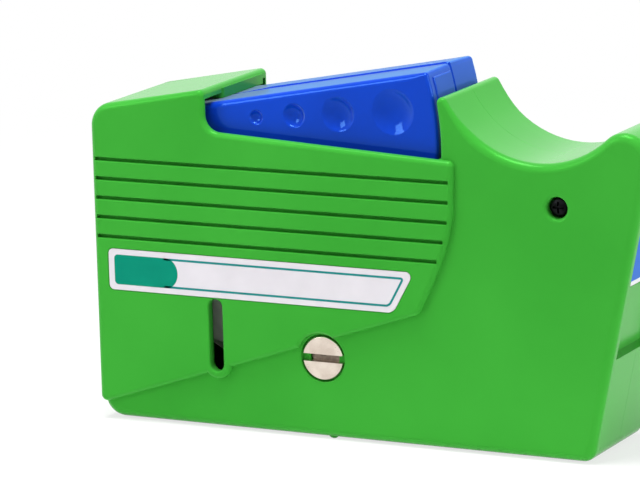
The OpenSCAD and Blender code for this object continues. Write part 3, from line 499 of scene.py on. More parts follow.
# Silicone rubber, moulded: matt and slightly off white
silicone = moulded("white silicone pad", tones=("#e6e4dc", "#f0eee7"), flowMm=6, grainMm=0.3,
    rough=(0.5, 0.6), bump=(0.2, 0.02), shader={"IOR": 1.41})


def metal(name, **look):
    # plated or ground metal: long fine scratches along one way, and a patchy film of handling
    material, tree, place = startMaterial(name)
    stretch = addNode(tree, "Mapping", {"Scale": look["stretch"]}, {"Vector": place})
    line = {"Scale": 1000 / look["lineMm"], "Detail": 4.0, "Roughness": 0.65}
    lines = addNode(tree, "TexNoise", line, {"Vector": stretch})
    film = addNode(tree, "TexNoise", {"Scale": 1000 / look["filmMm"], "Detail": 3.0}, {"Vector": place})
    closeSurface(tree, look, (0.35, 0.65), film, lines, {"Metallic": 1.0})
    return material


# Nickel plate over brass, rubbed by coins: warm grey, soft streaks across the face
nickel = metal("nickel plate, handled", tones=("#d0c1b4", "#e2d5c8"), stretch=(0.12, 1, 1),
    lineMm=0.25, filmMm=3, rough=(0.24, 0.4), bump=(0.3, 0.01))
# The floor of its slot: the same plate, darker and duller as painted shade where the slot's walls keep the
# light off
slotShadeNickel = metal("nickel plate, painted shade in the slot", tones=("#6b6158", "#8d8175"), stretch=(0.12, 1, 1),
    lineMm=0.25, filmMm=1.2, rough=(0.4, 0.6), bump=(0.4, 0.01))
# Ground steel: bright, with fine lines round the pins
steel = metal("steel, ground", tones=("#a9acb0", "#c2c4c8"), stretch=(1, 0.1, 1), lineMm=0.2,
    filmMm=5, rough=(0.22, 0.34), bump=(0.2, 0.01))
# Turned brass: warm yellow with the tool's lines
brass = metal("brass, turned", tones=("#b08a3a", "#cba653"), stretch=(1, 0.1, 1), lineMm=0.2,
    filmMm=4, rough=(0.2, 0.32), bump=(0.2, 0.01))
# Zinc plate blackened by dipping: dark, slightly mottled, dull shine
blackZinc = metal("steel, black zinc", tones=("#101112", "#232426"), stretch=(1, 1, 1),
    lineMm=0.3, filmMm=2, rough=(0.35, 0.5), bump=(0.3, 0.01))


def wovenTape(name, dark, light, threadMm):
    # plain weave, drawn about six times as coarse as its threads so that it shows
    material, tree, place = startMaterial(name)
    waves = []
    for way in ("Y", "DIAGONAL"):
        bands = {"Scale": 50 / threadMm, "Distortion": 0.4}
        waves.append(addNode(tree, "TexWave", bands, {"Vector": place}, bands_direction=way).outputs["Fac"])
    weave = addNode(tree, "Mix", {"Factor": 0.5}, {"A": waves[0], "B": waves[1]})
    look = {"tones": (dark, light), "bump": (0.4, 0.03)}
    closeSurface(tree, look, (0, 1), weave, weave, {"Roughness": 0.85, "Sheen Weight": 0.3})
    return material


# Microfibre cloth: soft white, grey with lint once used; the fresh roll's wound edge is painted duller than
# the clean face, as painted shade for its place inside the case
whiteTape = wovenTape("microfibre tape, clean", "#dcdad4", "#f2f0eb", 0.3)
usedTape = wovenTape("microfibre tape, wound and used", "#7c7d7e", "#9a9b9c", 0.3)
# painted shade: the fresh roll's wound edge, duller than the clean tape
shadedWoundTape = wovenTape("microfibre tape, wound edge in painted shade", "#ced1ca", "#e2e4dd", 0.3)
# Pressed wool: dense, matt, dark red
redFelt = wovenTape("wool felt, pressed", "#8c3127", "#a8402f", 0.5)
print("materials made")

# Camera: its angles in degrees, and the photograph's scale where it looks
shot = dict(
    azimuth=27.16, elevation=12.03, roll=-1.657, focalPx=4277.0, pxPerMm=4.43, lookAt=(49.68, 0.0, 41.76),
    imagePx=640, sensorMm=36.0,
)
az, el, ro = (radians(shot[k]) for k in ("azimuth", "elevation", "roll"))
back = Vector((sin(az) * cos(el), -cos(az) * cos(el), sin(el)))
right = Vector((0, 0, 1)).cross(back).normalized()
up = back.cross(right)
cameraData = bpy.data.cameras.new("camera")
cameraData.sensor_width = shot["sensorMm"]
cameraData.lens = shot["sensorMm"] * shot["focalPx"] / shot["imagePx"]
cameraData.clip_start, cameraData.clip_end = 0.05, 50
camera = bpy.data.objects.new("camera", cameraData)
cameraX, cameraY = right * cos(ro) + up * sin(ro), up * cos(ro) - right * sin(ro)
stand = Matrix((cameraX, cameraY, back)).transposed().to_4x4()
distance = shot["focalPx"] / shot["pxPerMm"] * mm
stand.translation = toFrame(*shot["lookAt"]) + back * distance
camera.matrix_world = stand
scene = bpy.context.scene
scene.collection.objects.link(camera)
scene.camera = camera
scene.view_settings.view_transform = "Standard"

# Soft lamps, in metres from under the object's middle, all turned to look at it
lights = dict(
    over=dict(at=(-0.05, -0.1, 0.75), size=(0.4, 0.3), watts=6.9),
    front=dict(at=(0.25, -0.95, 0.35), size=(0.8, 0.6), watts=0.15),
    left=dict(at=(-0.6, -0.56, 0.52), size=(0.34, 0.34), watts=2.5, roll=45),
    right=dict(at=(0.9, 0.0, 0.3), size=(0.5, 0.6), watts=4.4),
    behind=dict(at=(-0.2, 0.95, 0.45), size=(0.8, 0.6), watts=0.4),
)
for name, light in lights.items():
    data = bpy.data.lights.new(name, "AREA")
    data.shape = "RECTANGLE"
    data.size, data.size_y = light["size"]
    data.energy = light["watts"]
    lamp = bpy.data.objects.new(name, data)
    lamp.location = light["at"]
    lamp.rotation_euler = (Vector((0, 0, 0.04)) - Vector(light["at"])).to_track_quat("-Z", "Y").to_euler()
    lamp.rotation_euler.rotate_axis("Z", radians(light.get("roll", 0)))
    scene.collection.objects.link(lamp)


def seenDirectly(tree):
    # 1 to the camera, through glass and in gloss, 0 to the light that falls on things
    ray = addNode(tree, "LightPath")
    seen = ray.outputs["Is Camera Ray"]
    for kind in ("Is Transmission Ray", "Is Glossy Ray"):
        seen = addNode(tree, "Math", links={0: seen, 1: ray.outputs[kind]}, operation="MAXIMUM")
    return seen


# A white room that gives less light than it shows
world = bpy.data.worlds.new("studio")
scene.world = world
world.use_nodes = True
tree = world.node_tree
tree.nodes.clear()
fill = addNode(tree, "Background", {"Color": (1, 1, 1, 1), "Strength": 0.26})
white = addNode(tree, "Background", {"Color": (1, 1, 1, 1), "Strength": 1.0})
mix = addNode(tree, "MixShader", links={0: seenDirectly(tree), 1: fill, 2: white})
addNode(tree, "OutputWorld", links={"Surface": mix})

# A floor that shows white far out, and nearer the object is lit as paper is, so its shadow shows
floorMaterial, tree, place = startMaterial("pale studio floor")
away = addNode(tree, "VectorMath", links={0: place}, operation="LENGTH")
near = {"From Min": 0.1, "From Max": 0.45, "To Min": 0.72, "To Max": 1.0}
share = addNode(tree, "MapRange", near, {"Value": away.outputs["Value"]})
part = addNode(tree, "Math", links={0: seenDirectly(tree), 1: share}, operation="MULTIPLY")
lit = addNode(tree, "BsdfDiffuse", {"Color": linear("#f4f4f4")})
glow = addNode(tree, "Emission", {"Color": (1, 1, 1, 1), "Strength": 1.0})
mix = addNode(tree, "MixShader", links={0: part, 1: lit, 2: glow})
addNode(tree, "OutputMaterial", links={"Surface": mix})
floor = newPiece("floor", [(-6, -6, 0), (6, -6, 0), (6, 6, 0), (-6, 6, 0)], [(0, 1, 2, 3)])
floor.data.materials.append(floorMaterial)
print("camera, lights and floor set")

# The two shells of the case
shell = dict(
    bodyRound=2.0, tipRound=1.0, gripRound=1.25, topRound=1.6, seam=0.04, lipFade=(2, 8),
    tipFade=(1.5, 9), crestBack=12, topFade=(1.5, 8), heelFade=(8, 10),
)
beside = dict(y=14.6, back=2.5, front=0.5, drop=3.0, gap=0.3, high=88.0)
bosses = dict(
    supply=(30.7, 38.0), takeup=(83.1, 38.0), radius=5.0, axleR=3.0, smallR=3.4, pinR=1.5,
    rollers=[(44.0, 10.0), (116.164, 10.0), (127.704, 64.292)], holding=(102.058, 35.632),
    holdingFace=9.85, dowels=[(7, 7), (7, 64), (107, 16)], dowelR=1.5, dowelWall=1.1, innerFace=7.65,
    takeupFace=10.25, leverFace=12.1,
)
bossWall = innerY + wall / 2
curtain = dict(frontY=7.0, rearY=12.85, gap=0.15, round=1.2, proud=0.3)
lever = dict(
    rise=6.3, reach=58.4, halfY=12.0, wall=2.0, skirtZ=59.8, tailBack=5.4, tailR=5.0, corner=1.0,
    round=0.9, topRound=1.45, crown=0.15, crownRear=0.5, split=0.07, seam=0.35, hubR=4.4, pinR=2.0,
    bossR=2.35, endFade=(1.5, 3), crownFade=(2, 10),
)


def bodyRounding(p):
    # broad edges, drawn in to a small round at the lip and towards the tip of the crest
    near = fade((p - lip).length, shell["lipFade"])
    if p.x >= crestTip.x - shell["crestBack"]:
        tipAway = (p - crestTip).length if p.x > crestTip.x else 0
        near = min(near, fade(tipAway, shell["tipFade"]))
    return shell["tipRound"] + (shell["bodyRound"] - shell["tipRound"]) * near


def gripRounding(p):
    # the upper back edge is rounder than the rest
    onTop = min(fade(lip.x - p.x, shell["topFade"]), fade(p.y, shell["heelFade"]))
    return shell["gripRound"] + (shell["topRound"] - shell["gripRound"]) * onTop


def grooveCutter(z):
    # straight groove with rounded lips and floor, as an outline in YZ run along X
    rim, floorR = grip["grooveLip"], grip["grooveFloor"]
    half, floorY = grip["grooveWidth"] / 2, gripY - grip["grooveDepth"]
    profile = [(gripY + 1, half + rim + 0.3), (gripY, half + rim + 0.02)]
    profile += [(gripY - rim * down, half + rim * out) for down, out in quarter(4)[1:]]
    profile += [(floorY + floorR * up, half - floorR * across) for across, up in quarter(4)]
    profile += [(y, -h) for y, h in reversed(profile)]
    ends = grip["grooveBack"], gripEdgeAt(z) - grip["grooveFront"]
    return ringSolid("groove", [[toFrame(x, y, z + h) for y, h in profile] for x in ends])


def flared(name, outline, yDeep, yFace, flare):
    # a straight hole whose mouth at yFace flares out by a quarter round
    rings = [ringAt(outline, yDeep)]
    for out, down in quarter(6):
        rings.append(ringAt(inset(outline, -flare * out), yFace - flare * down))
    rings.append(ringAt(inset(outline, -flare), yFace + 1))
    return ringSolid(name, rings)


def curtainPiece(wide):
    # closes the end of the roof over the lever, its front upright edge rounded
    back, front = lip.x - wall, lip.x + curtain["proud"]
    r = curtain["round"] if wide < innerY else 0.05
    points = [Vector((back, 0)), Vector((front, 0))]
    points += arc((front - r, wide - r), r, 0, 90, 10) + [Vector((back, wide))]
    return uprightSolid("curtain", points, (topAt(lip.x) + curtain["gap"], lip.y - wall / 2))


def pocketOutline():
    # room beside the lever, below the roof and short of the crest
    wellR, farX = crestR - beside["gap"], pivot.x + crestR
    backX, frontX = lip.x - beside["back"], lip.x + beside["front"]
    lowAngle = riseAngle(notchAt(farX) - beside["drop"], wellR)
    rim = arc(pivot, wellR, lowAngle, riseAngle(beside["high"], wellR), 2)
    return [(backX, case["notchZ"] - beside["drop"]), *rim, (frontX, beside["high"]),
            (frontX, roofAt(lip.x)), (backX, roofAt(backX))]


def bossRing(place, radius, bore, face, end=bossWall):
    return collar("boss", place, radius, bore + fit, face, end)


def makeShell(name, takeupFace, curtainWide):
    # every cutter runs on past the face that it opens
    piece = slab(name, caseOutline, 0, sideY, bodyRounding, shell["seam"])
    join(piece, slab("gripPanel", gripOutline, innerY + grip["root"], gripY, gripRounding))
    cut(piece,
        slab("hollow", cavityOutline(), -1, innerY),
        slab("leverPocket", pocketOutline(), innerY - 0.5, beside["y"]))
    for i in range(grip["grooves"]):
        cut(piece, grooveCutter(grip["grooveTop"] - i * grip["groovePitch"]))
    floorR, halfY, sides = faceR - recess["depth"], recess["halfY"], (recess["lowS"], recess["topS"])
    cut(piece,
        faceBlock("recess", floorR, faceR + 8, *sides, -0.5, halfY),
        faceBlock("rails", floorR, floorR + recess["railT"], *sides, -0.5, halfY + recess["railW"]),
        faceBlock("window", floorR - recess["windowDeep"], floorR + 0.5, recess["windowLow"],
                  recess["windowTop"], -0.5, recess["windowHalfY"]))
    join(piece,
         curtainPiece(curtainWide),
         bossRing(bosses["supply"], bosses["radius"], bosses["axleR"], bosses["innerFace"]),
         bossRing(bosses["takeup"], bosses["radius"], bosses["axleR"], takeupFace),
         bossRing(pivot, lever["bossR"], lever["pinR"], bosses["leverFace"], beside["y"] + 0.45))
    for place in bosses["rollers"]:
        join(piece, bossRing(place, bosses["smallR"], bosses["pinR"], bosses["innerFace"]))
    return piece


frontShell = makeShell("front_shell_moulding", bosses["takeupFace"], curtain["frontY"])
rearShell = makeShell("rear_shell_moulding", bosses["innerFace"], curtain["rearY"])
print("shell halves made")

# Level slot, coin screw pocket, nose screw hole, nub and label recess of the front shell
pocket = dict(
    coin=(56.9, 18.2), radius=5.45, mouth=0.25, scallopR=5.9, scallopRound=0.9, scallopSunk=0.03,
    floorY=13.2, bossR=5.6, shankR=3.6, insertR=4.2, insertFace=7.5,
)
level = dict(
    x=30.75, low=13.3, width=3.5, length=16.65, rim=1.8, rimRound=0.9, round=0.45, wall=1.9, relief=0.8,
)
hole = dict(
    at=(114.45, 56.2), radius=2.4, mouth=0.85, sink=2.6, bossR=4.1, shankR=1.4, threadR=1.33,
    threadFace=9.5,
)
nub = dict(shift=1.5, radius=1.6, length=3.0, back=1.2, bevel=0.3)
label = dict(
    back=3.72, low=30.35, height=9.5, length=77.0, slant=5.3, corner=1.2, lowCorner=2.6, gap=0.2,
    deep=0.25,
)
coinAt, noseAt, slotWidth = pocket["coin"], hole["at"], level["width"]
slotFoot = (level["x"], level["low"] + slotWidth / 2)
slotHead = (level["x"], level["low"] + level["length"] - slotWidth / 2)
slotOutline = barOutline(slotFoot, slotHead, slotWidth)
reliefOutline = barOutline(slotFoot, slotHead, slotWidth + 2 * level["relief"])
labelTop, labelEnd = label["low"] + label["height"], label["back"] + label["length"]
labelOutline = rounded([
    (label["back"], label["low"], label["corner"]),
    (labelEnd - label["slant"], label["low"], label["lowCorner"]),
    (labelEnd, labelTop, label["corner"]), (label["back"], labelTop, label["corner"]),
])
for place, radius in ((coinAt, pocket["bossR"]), (noseAt, hole["bossR"])):
    for piece in (frontShell, rearShell):
        join(piece, pin("boss", place, radius, 0, bossWall))
join(frontShell, bossRing(bosses["holding"], bosses["smallR"], bosses["pinR"], bosses["holdingFace"]))
dowelR, socketR = bosses["dowelR"], bosses["dowelR"] + bosses["dowelWall"]
dowel = [(0, -3), (dowelR - 0.4, -3), (dowelR, -2.6), (dowelR, 1), (0, 1)]
for place in bosses["dowels"]:
    join(frontShell, bossRing(place, socketR, dowelR, 0))
    join(rearShell, pin("socket", place, socketR, 0, bossWall), lathe("dowel", place, dowel, 48))
nubFront = sideY - nub["back"]
nubRear, nubR, nubBreak = nubFront - nub["length"], nub["radius"], nub["bevel"]
join(frontShell,
     slab("slotRim", circle(slotFoot, slotWidth / 2 + level["rim"], 6),
          innerY + grip["root"], gripY - 0.004, level["rimRound"]),
     lathe("nub", (coinAt[0] + nub["shift"], nubR - case["nubDrop"]), [
         (0, nubRear), (nubR - nubBreak, nubRear), (nubR, nubRear + nubBreak),
         (nubR, nubFront - nubBreak), (nubR - nubBreak, nubFront), (0, nubFront)], 64))
cut(frontShell,
    slab("relief", reliefOutline, innerY - 0.5, gripY - level["wall"]),
    flared("levelSlot", slotOutline, innerY - 1, gripY, level["round"]),
    flared("scallop", circle(coinAt, pocket["scallopR"], 4), sideY - pocket["scallopSunk"], gripY,
           pocket["scallopRound"]),
    flared("coinPocket", circle(coinAt, pocket["radius"], 4), pocket["floorY"], sideY, pocket["mouth"]),
    pin("coinBore", coinAt, pocket["shankR"], -1, pocket["floorY"] + 0.5),
    flared("noseHole", circle(noseAt, hole["radius"], 6), sideY - hole["sink"], sideY, hole["mouth"]),
    pin("noseBore", noseAt, hole["shankR"], -1, sideY - 2),
    slab("labelRecess", inset(labelOutline, -label["gap"]), gripY - label["deep"], gripY + 1))

# Spring shelf, insert bore and the way through the nose for the shutter's arm
shelf = dict(x=57.0, top=53.5, thick=2.5, width=9.6, frontY=-5.0, pegR=2.6, pegHigh=3.0)
armWay = dict(deep=8, front=1.7, reach=12.3, y0=8.4, y1=10.1)
join(rearShell,
     box("shelf", (shelf["x"], shelf["top"] - shelf["thick"] / 2), shelf["width"], shelf["thick"],
         shelf["frontY"], bossWall),
     upright("peg", (shelf["x"], 0), shelf["pegR"], shelf["top"] - 1, shelf["top"] + shelf["pegHigh"]))
cut(rearShell,
    pin("insertBore", coinAt, pocket["insertR"], -1, pocket["insertFace"]),
    pin("screwBore", noseAt, hole["threadR"], -1, hole["threadFace"]),
    faceBlock("armWay", faceR - armWay["deep"], faceR - armWay["front"], -armWay["reach"], armWay["reach"],
              armWay["y0"], armWay["y1"]))
mirrored(frontShell)
finish(frontShell, greenAbs, "front_shell")
finish(rearShell, greenAbs, "rear_shell")
print("shells cut and finished")

# The lever: its outline, dimples, the pad on its free end and the arm that drives the shutter
leverR, leverY, steep = lever["reach"], lever["halfY"], 1 + slope ** 2
leverRun = sqrt(steep * leverR ** 2 - lever["rise"] ** 2) - slope * lever["rise"]
endX = pivot.x + leverRun / steep
tailX = pivot.x - lever["tailBack"]
# along the top, where its rounding and crown change
tops = (endX - 2, endX - 3, endX - 5, pivot.x + 12, pivot.x + 4, tailX + 4)
lowEnd = riseAngle(lever["skirtZ"], leverR)
topEnd = riseAngle(topAt(endX), leverR)
leverOutline = rounded(
    [(tailX, pivot.y - lever["tailR"], lever["tailR"])]
    + arc(pivot, leverR, lowEnd, topEnd - 2, 2, last=False)
    + [(endX, topAt(endX), lever["corner"])] + [(x, topAt(x)) for x in tops]
    + [(tailX, topAt(tailX), lever["corner"])]
)
# each dimple's place as shares of the lever's reach, its radius, and its depth as a share of that
dimples = dict(
    places=[(0.2346, 0.0693, 1.65, 0.6), (0.3973, 0.0856, 2.7, 0.48), (0.5848, 0.101, 3.9, 0.38),
            (0.8151, 0.1224, 5.0, 0.31)],
    rim=0.3,
)
endPad = dict(proud=0.35, root=0.5, side=2.2, gap=0.8, drop=1.4, bevel=0.3, wallZ=73.0)
springPad = dict(radius=4.6, z0=75.6, z1=77.6)
arm = dict(
    width=5.0, innerY=10.2, round=0.4, root=(0.942, -0.103), knee=(1.5, -0.385), pinR=1.5, pinY0=8.4,
    pinY1=11, swingR=faceR - 8.3,
)
drivePivot = (79.66, 62.875)


def leverRounding(p):
    # broader along the top than round the end
    if p.y < topAt(p.x) - 0.01:
        return lever["round"]
    return lever["round"] + (lever["topRound"] - lever["round"]) * fade(endX - p.x, lever["endFade"])


def crownTop(piece, crown):
    # the top rises a little towards the seam between the two mouldings
    for v in piece.data.vertices:
        x, y, z = v.co.x / mm + case["length"] / 2, abs(v.co.y) / mm, v.co.z / mm - case["nubDrop"]
        if z > topAt(x) - 0.45:
            middle = max(0, 1 - y / (leverY - lever["topRound"]))
            v.co.z += crown * mm * middle * fade(x - lip.x, lever["crownFade"])


def dimpleCutter(along, rise, r, share):
    rim, face = dimples["rim"], leverY
    depth = r * share
    ball = (r * r + depth * depth) / (2 * depth)
    profile = [(0, face - depth)]
    for k in range(1, 15):
        a = asin(r / ball) * k / 15
        profile.append((ball * sin(a), face - depth + ball * (1 - cos(a))))
    # a soft lip round the hollow
    profile += [(r - rim * 0.35, face - rim * 0.42), (r + rim * 0.15, face - rim * 0.16),
                (r + rim * 0.6, face - 0.004), (r + rim, face + 0.01), (r + rim, face + 2), (0, face + 2)]
    return lathe("dimple", (pivot.x + along * leverR, pivot.y + rise * leverR), profile)


def makeLeverHalf(name):
    piece = slab(name, leverOutline, lever["split"], leverY, leverRounding, lever["seam"])
    below, beyond = pivot.y - 20, pivot.x + 2 * leverR
    wallZ = endPad["wallZ"]
    inside = [(tailX - 1, below), (beyond, below), (beyond, wallZ), (endX - 1, wallZ)]
    inside += [(x, topAt(x) - lever["wall"]) for x in (endX - 2, tailX - 1)]
    cut(piece, slab("inside", inside, -1, leverY - lever["wall"]))
    for place in dimples["places"]:
        cut(piece, dimpleCutter(*place))
    join(piece,
         pin("hub", pivot, lever["hubR"], lever["split"], leverY - 1),
         upright("springPad", (shelf["x"], 0), **springPad, fromY=lever["split"]))
    return piece


leverFront = makeLeverHalf("lever_front_moulding")
padLow = riseAngle(endPad["wallZ"] + endPad["root"], leverR)
padTop = riseAngle(topAt(endX) - endPad["drop"], leverR)
proud, bevel = endPad["proud"], endPad["bevel"]
rings = []
for out, shrink in ((-endPad["root"], 0), (0.02, 0), (proud * 0.6, bevel * 0.25), (proud, bevel)):
    give = degrees(shrink / leverR)
    edge = arc(pivot, leverR + out, padLow + give, padTop - give, 1.3)
    far = ringAt(reversed(edge), leverY - endPad["side"] - shrink)
    rings.append(ringAt(edge, endPad["gap"] + shrink) + far)
join(leverFront, ringSolid("endPad", rings))
cut(leverFront,
    pin("pinBore", pivot, lever["pinR"] + fit, -1, leverY + 1),
    pin("pawlBore", drivePivot, bosses["pinR"] + fit, -1, leverY - 1))
mirrored(leverFront)

leverRear = makeLeverHalf("lever_rear_moulding")
root, knee = (pivot + Vector(arm[k]) * leverR for k in ("root", "knee"))
tip = polar(pivot, arm["swingR"], -case["noseLean"] + case["leverTravel"] / 2)
for a, b in ((root, knee), (knee, tip)):
    join(leverRear, slab("arm", barOutline(a, b, arm["width"]), arm["innerY"], leverY, arm["round"]))
join(leverRear, pin("armPin", tip, arm["pinR"], arm["pinY0"], arm["pinY1"]))
cut(leverRear, pin("pinBore", pivot, lever["pinR"] + fit, -1, leverY + 1))
crownTop(leverFront, lever["crown"])
crownTop(leverRear, lever["crownRear"])
finish(leverFront, blueAbs, "lever_front_half", "lever")
finish(leverRear, blueAbs, "lever_rear_half", "lever")
print("lever made")

# Label: film, teal block with a round end, and a keyline that runs on from it
ink = dict(
    sunk=0.03, under=0.01, thick=0.02, inset=1.3, line=0.5, blockX=5.2, blockLength=13.3, endReach=3.0,
    corner=0.9, lowCorner=1.9, topCorner=0.6, overlap=0.5,
)
inkY = gripY - ink["sunk"]
inkLow, inkHigh = inkY - ink["under"], inkY + ink["thick"]
film = slab("label_film", labelOutline, gripY - label["deep"], inkY, 0.05, steps=2)
finish(mirrored(film), labelWhite, "front_label")
lowInk, highInk = label["low"] + ink["inset"], labelTop - ink["inset"]
midInk, halfInk = (lowInk + highInk) / 2, (highInk - lowInk) / 2
blockEnd = ink["blockX"] + ink["blockLength"]
blockLow, blockHigh = (ink["blockX"], lowInk), (ink["blockX"], highInk)
blockOutline = fillet(blockHigh, blockLow, (blockEnd, lowInk), ink["corner"])
for turn in range(-90, 91, 6):
    a = radians(turn)
    blockOutline.append(Vector((blockEnd + ink["endReach"] * cos(a), midInk + halfInk * sin(a))))
blockOutline += fillet((blockEnd, highInk), blockHigh, blockLow, ink["corner"])
tealBlock = slab("label_block", blockOutline, inkLow, inkHigh)
finish(mirrored(tealBlock), labelTeal)

inkSlope = label["slant"] / label["height"]
farTop = labelEnd - ink["inset"] * (sqrt(1 + inkSlope ** 2) + inkSlope)
start = blockEnd - ink["overlap"]
lowStart, highStart = Vector((start, lowInk)), Vector((start, highInk))
lowFar, highFar = Vector((farTop - inkSlope * (highInk - lowInk), lowInk)), Vector((farTop, highInk))
keyline = [lowStart] + fillet(lowStart, lowFar, highFar, ink["lowCorner"])
keyline += fillet(lowFar, highFar, highStart, ink["topCorner"]) + [highStart]
inner = inset(keyline + [Vector((start + 0.01, midInk))], ink["line"])[1:-2]
inner = [Vector((start, lowInk + ink["line"]))] + inner + [Vector((start, highInk - ink["line"]))]
keylinePiece = ribbon("label_keyline", keyline, inner, inkLow, inkHigh)
finish(mirrored(keylinePiece), labelLine)
print("label made")

# Coin screw and nose screw
coin = dict(
    headR=5.0, faceY=14.5, thick=1.3, slot=1.75, slotLength=16, slotDeep=1.9, edge=0.35, neck=0.15,
    shankR=3.5, shankEnd=3.0, threadR=2.6, threadDeep=0.35, turns=9, end=-7,
)
threadR, headBack = coin["threadR"], coin["faceY"] - coin["thick"]
profile = [(0, coin["end"]), (threadR - 0.5, coin["end"]), (threadR, coin["end"] + 0.5)]
for k in range(coin["turns"]):
    y = coin["end"] + 0.8 + k
    profile += [(threadR, y), (threadR - coin["threadDeep"], y + 0.5)]
profile += [(threadR, coin["shankEnd"] - 0.1), (coin["shankR"], coin["shankEnd"])]
profile += [(coin["shankR"], headBack), (coin["headR"] - coin["neck"], headBack)]
for across, down in quarter(6):
    profile.append((coin["headR"] - coin["edge"] * across, coin["faceY"] - coin["edge"] * down))
coinScrew = lathe("coin_screw_turned", coinAt, profile + [(0, coin["faceY"])])
slotFloor = coin["faceY"] - coin["slotDeep"]
cut(coinScrew, box("slot", coinAt, coin["slotLength"], coin["slot"], slotFloor, coin["faceY"] + 1))
finish(mirrored(coinScrew), nickel, "coin_screw")
# the faces of the slot's floor take the painted shade
coinScrew.data.materials.append(slotShadeNickel)
for face in coinScrew.data.polygons:
    if abs(abs(face.center.y) / mm - slotFloor) < 0.02:
        face.material_index = 1

cross = dict(headR=2.2, headT=1.6, edgeShare=0.55, length=2.6, width=0.5, deep=0.9, shankR=1.3, end=-9.0)
headY = sideY - hole["sink"]
topY = headY + cross["headT"]
profile = [(0, cross["end"]), (cross["shankR"] - 0.4, cross["end"]), (cross["shankR"], cross["end"] + 0.6),
           (cross["shankR"], headY), (cross["headR"], headY)]
for across, down in quarter(6)[:-1]:
    dome = cross["headT"] * (1 - cross["edgeShare"]) * down
    profile.append((cross["headR"] * (1 - across), topY - dome))
noseScrew = lathe("nose_screw_turned", noseAt, profile + [(0, topY)], 64)
for sizes in ((cross["length"], cross["width"]), (cross["width"], cross["length"])):
    cut(noseScrew, box("cross", noseAt, *sizes, topY - cross["deep"], headY + 3))
finish(mirrored(noseScrew), blackZinc, "nose_screw")
print("screws made")

# The lever's spring


def wire(name, points, radius, sides):
    # round wire along points, each in frame metres, closed at both ends
    rings, side = [], None
    for i, p in enumerate(points):
        ahead = (points[min(i + 1, len(points) - 1)] - points[max(i - 1, 0)]).normalized()
        if side is None:
            side = ahead.orthogonal()
        side = (side - ahead * side.dot(ahead)).normalized()
        other = ahead.cross(side)
        turns = [2 * pi * k / sides for k in range(sides)]
        rings.append([p + (side * cos(a) + other * sin(a)) * radius for a in turns])
    return ringSolid(name, rings)


coil = dict(outerR=4.0, wire=0.8, turns=9, low=53.6, high=75.3, endTurn=0.2917, pressed=0.67)
reach = coil["outerR"] - coil["wire"] / 2
count = coil["turns"] * 28
points = []
for i in range(count + 1):
    t = i / count
    rise = t - coil["endTurn"] / coil["turns"] * sin(2 * pi * t)  # flatter at its ends
    z = coil["low"] + coil["wire"] / 2 + (coil["high"] - coil["low"] - coil["wire"]) * rise
    spot = polar((shelf["x"], 0), reach, 360 * t * coil["turns"])
    points.append(toFrame(spot.x, spot.y, z))
coilPiece = wire("lever_spring_coil", points, coil["wire"] / 2 * mm, 12)
finish(coilPiece, steel, "lever_spring", angle=60)
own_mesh(coilPiece)

# The two rolls of tape
rolls = dict(supplyR=20.7, takeupR=12.0, halfY=6.0, coreR=8.03, ripple=0.55, rippleDeep=0.06)


def woundRoll(reel, material):
    # turns of tape seen edge on, drawn coarser than the tape is thick so that they show
    r, outerR = rolls["coreR"], rolls[reel + "R"]
    side = [(r, rolls["halfY"])]
    while r + rolls["ripple"] < outerR:
        side.append((r + rolls["ripple"] * 0.5, rolls["halfY"]))
        side.append((r + rolls["ripple"] * 0.85, rolls["halfY"] - rolls["rippleDeep"]))
        r += rolls["ripple"]
    side.append((outerR, rolls["halfY"] - 0.05))
    profile = side + [(radius, -y) for radius, y in reversed(side)]
    piece = lathe(reel + "_roll_wound", bosses[reel], profile, 128, ring=True)
    finish(piece, material, reel + "_roll", reel, 50)


# the fresh roll, its wound edge in painted shade
woundRoll("supply", shadedWoundTape)
woundRoll("takeup", usedTape)
print("springs and rolls made")

# The run of tape between them, round the three rollers
tape = dict(width=12.0, thick=0.12, seat=0.03, rollerR=3.0)
wheels = [(centre, tape["rollerR"]) for centre in bosses["rollers"]]
wheels = [(bosses["supply"], rolls["supplyR"]), *wheels, (bosses["takeup"], rolls["takeupR"])]
runs = []
for (a, ra), (b, rb) in zip(wheels, wheels[1:]):
    runs.append(heading(a, b) + degrees(asin((ra - rb) / (Vector(b) - Vector(a)).length)))
runs[-1] %= 360


def tapeLine(off):
    # the run at a distance outside the wheels
    (first, firstR), (last, lastR) = wheels[0], wheels[-1]
    line = [polar(first, firstR + off, runs[0] - 90)]
    for (centre, r), turn, nextTurn in zip(wheels[1:-1], runs, runs[1:]):
        line += arc(centre, r + off, turn - 90, nextTurn - 90, 6)
    return line + [polar(last, lastR + off, runs[-1] - 90)]


middle = tapeLine(tape["seat"] + tape["thick"] / 2)
tapePiece = ribbon("cleaning_tape", tapeLine(tape["seat"]), tapeLine(tape["seat"] + tape["thick"]),
                   -tape["width"] / 2, tape["width"] / 2)
finish(tapePiece, whiteTape, "tape_run", angle=50)

# The soft pad that backs the tape behind the slots
pad = dict(faceR=faceR - 4.6, deep=4.0, low=-6.0, top=12.5, halfY=6.3, corner=1.2, pull=0.25, edge=0.5)


def padRing(depth, drawIn):
    # rounded rectangle on the window's face, its sides pulled in between the corners
    r, ring = pad["corner"], []
    s0, s1, half = pad["low"] + drawIn, pad["top"] - drawIn, pad["halfY"] - drawIn
    spots = [(s1 - r, half - r), (s0 + r, half - r), (s0 + r, -half + r), (s1 - r, -half + r)]
    for i, spot in enumerate(spots):
        ring += arc(spot, r, 90 * i, 90 * i + 90, 11.25)
        last, first = ring[-1], polar(spots[(i + 1) % 4], r, 90 * i + 90)
        for k in range(1, 10):
            t = k / 10
            pull = pad["pull"] * 4 * t * (1 - t)
            ring.append(last + (first - last) * t - polar((0, 0), pull, 90 * i + 90))
    places = [(facePoint(depth, p.x), p.y) for p in ring]
    return [toFrame(spot.x, y, spot.y) for spot, y in places]


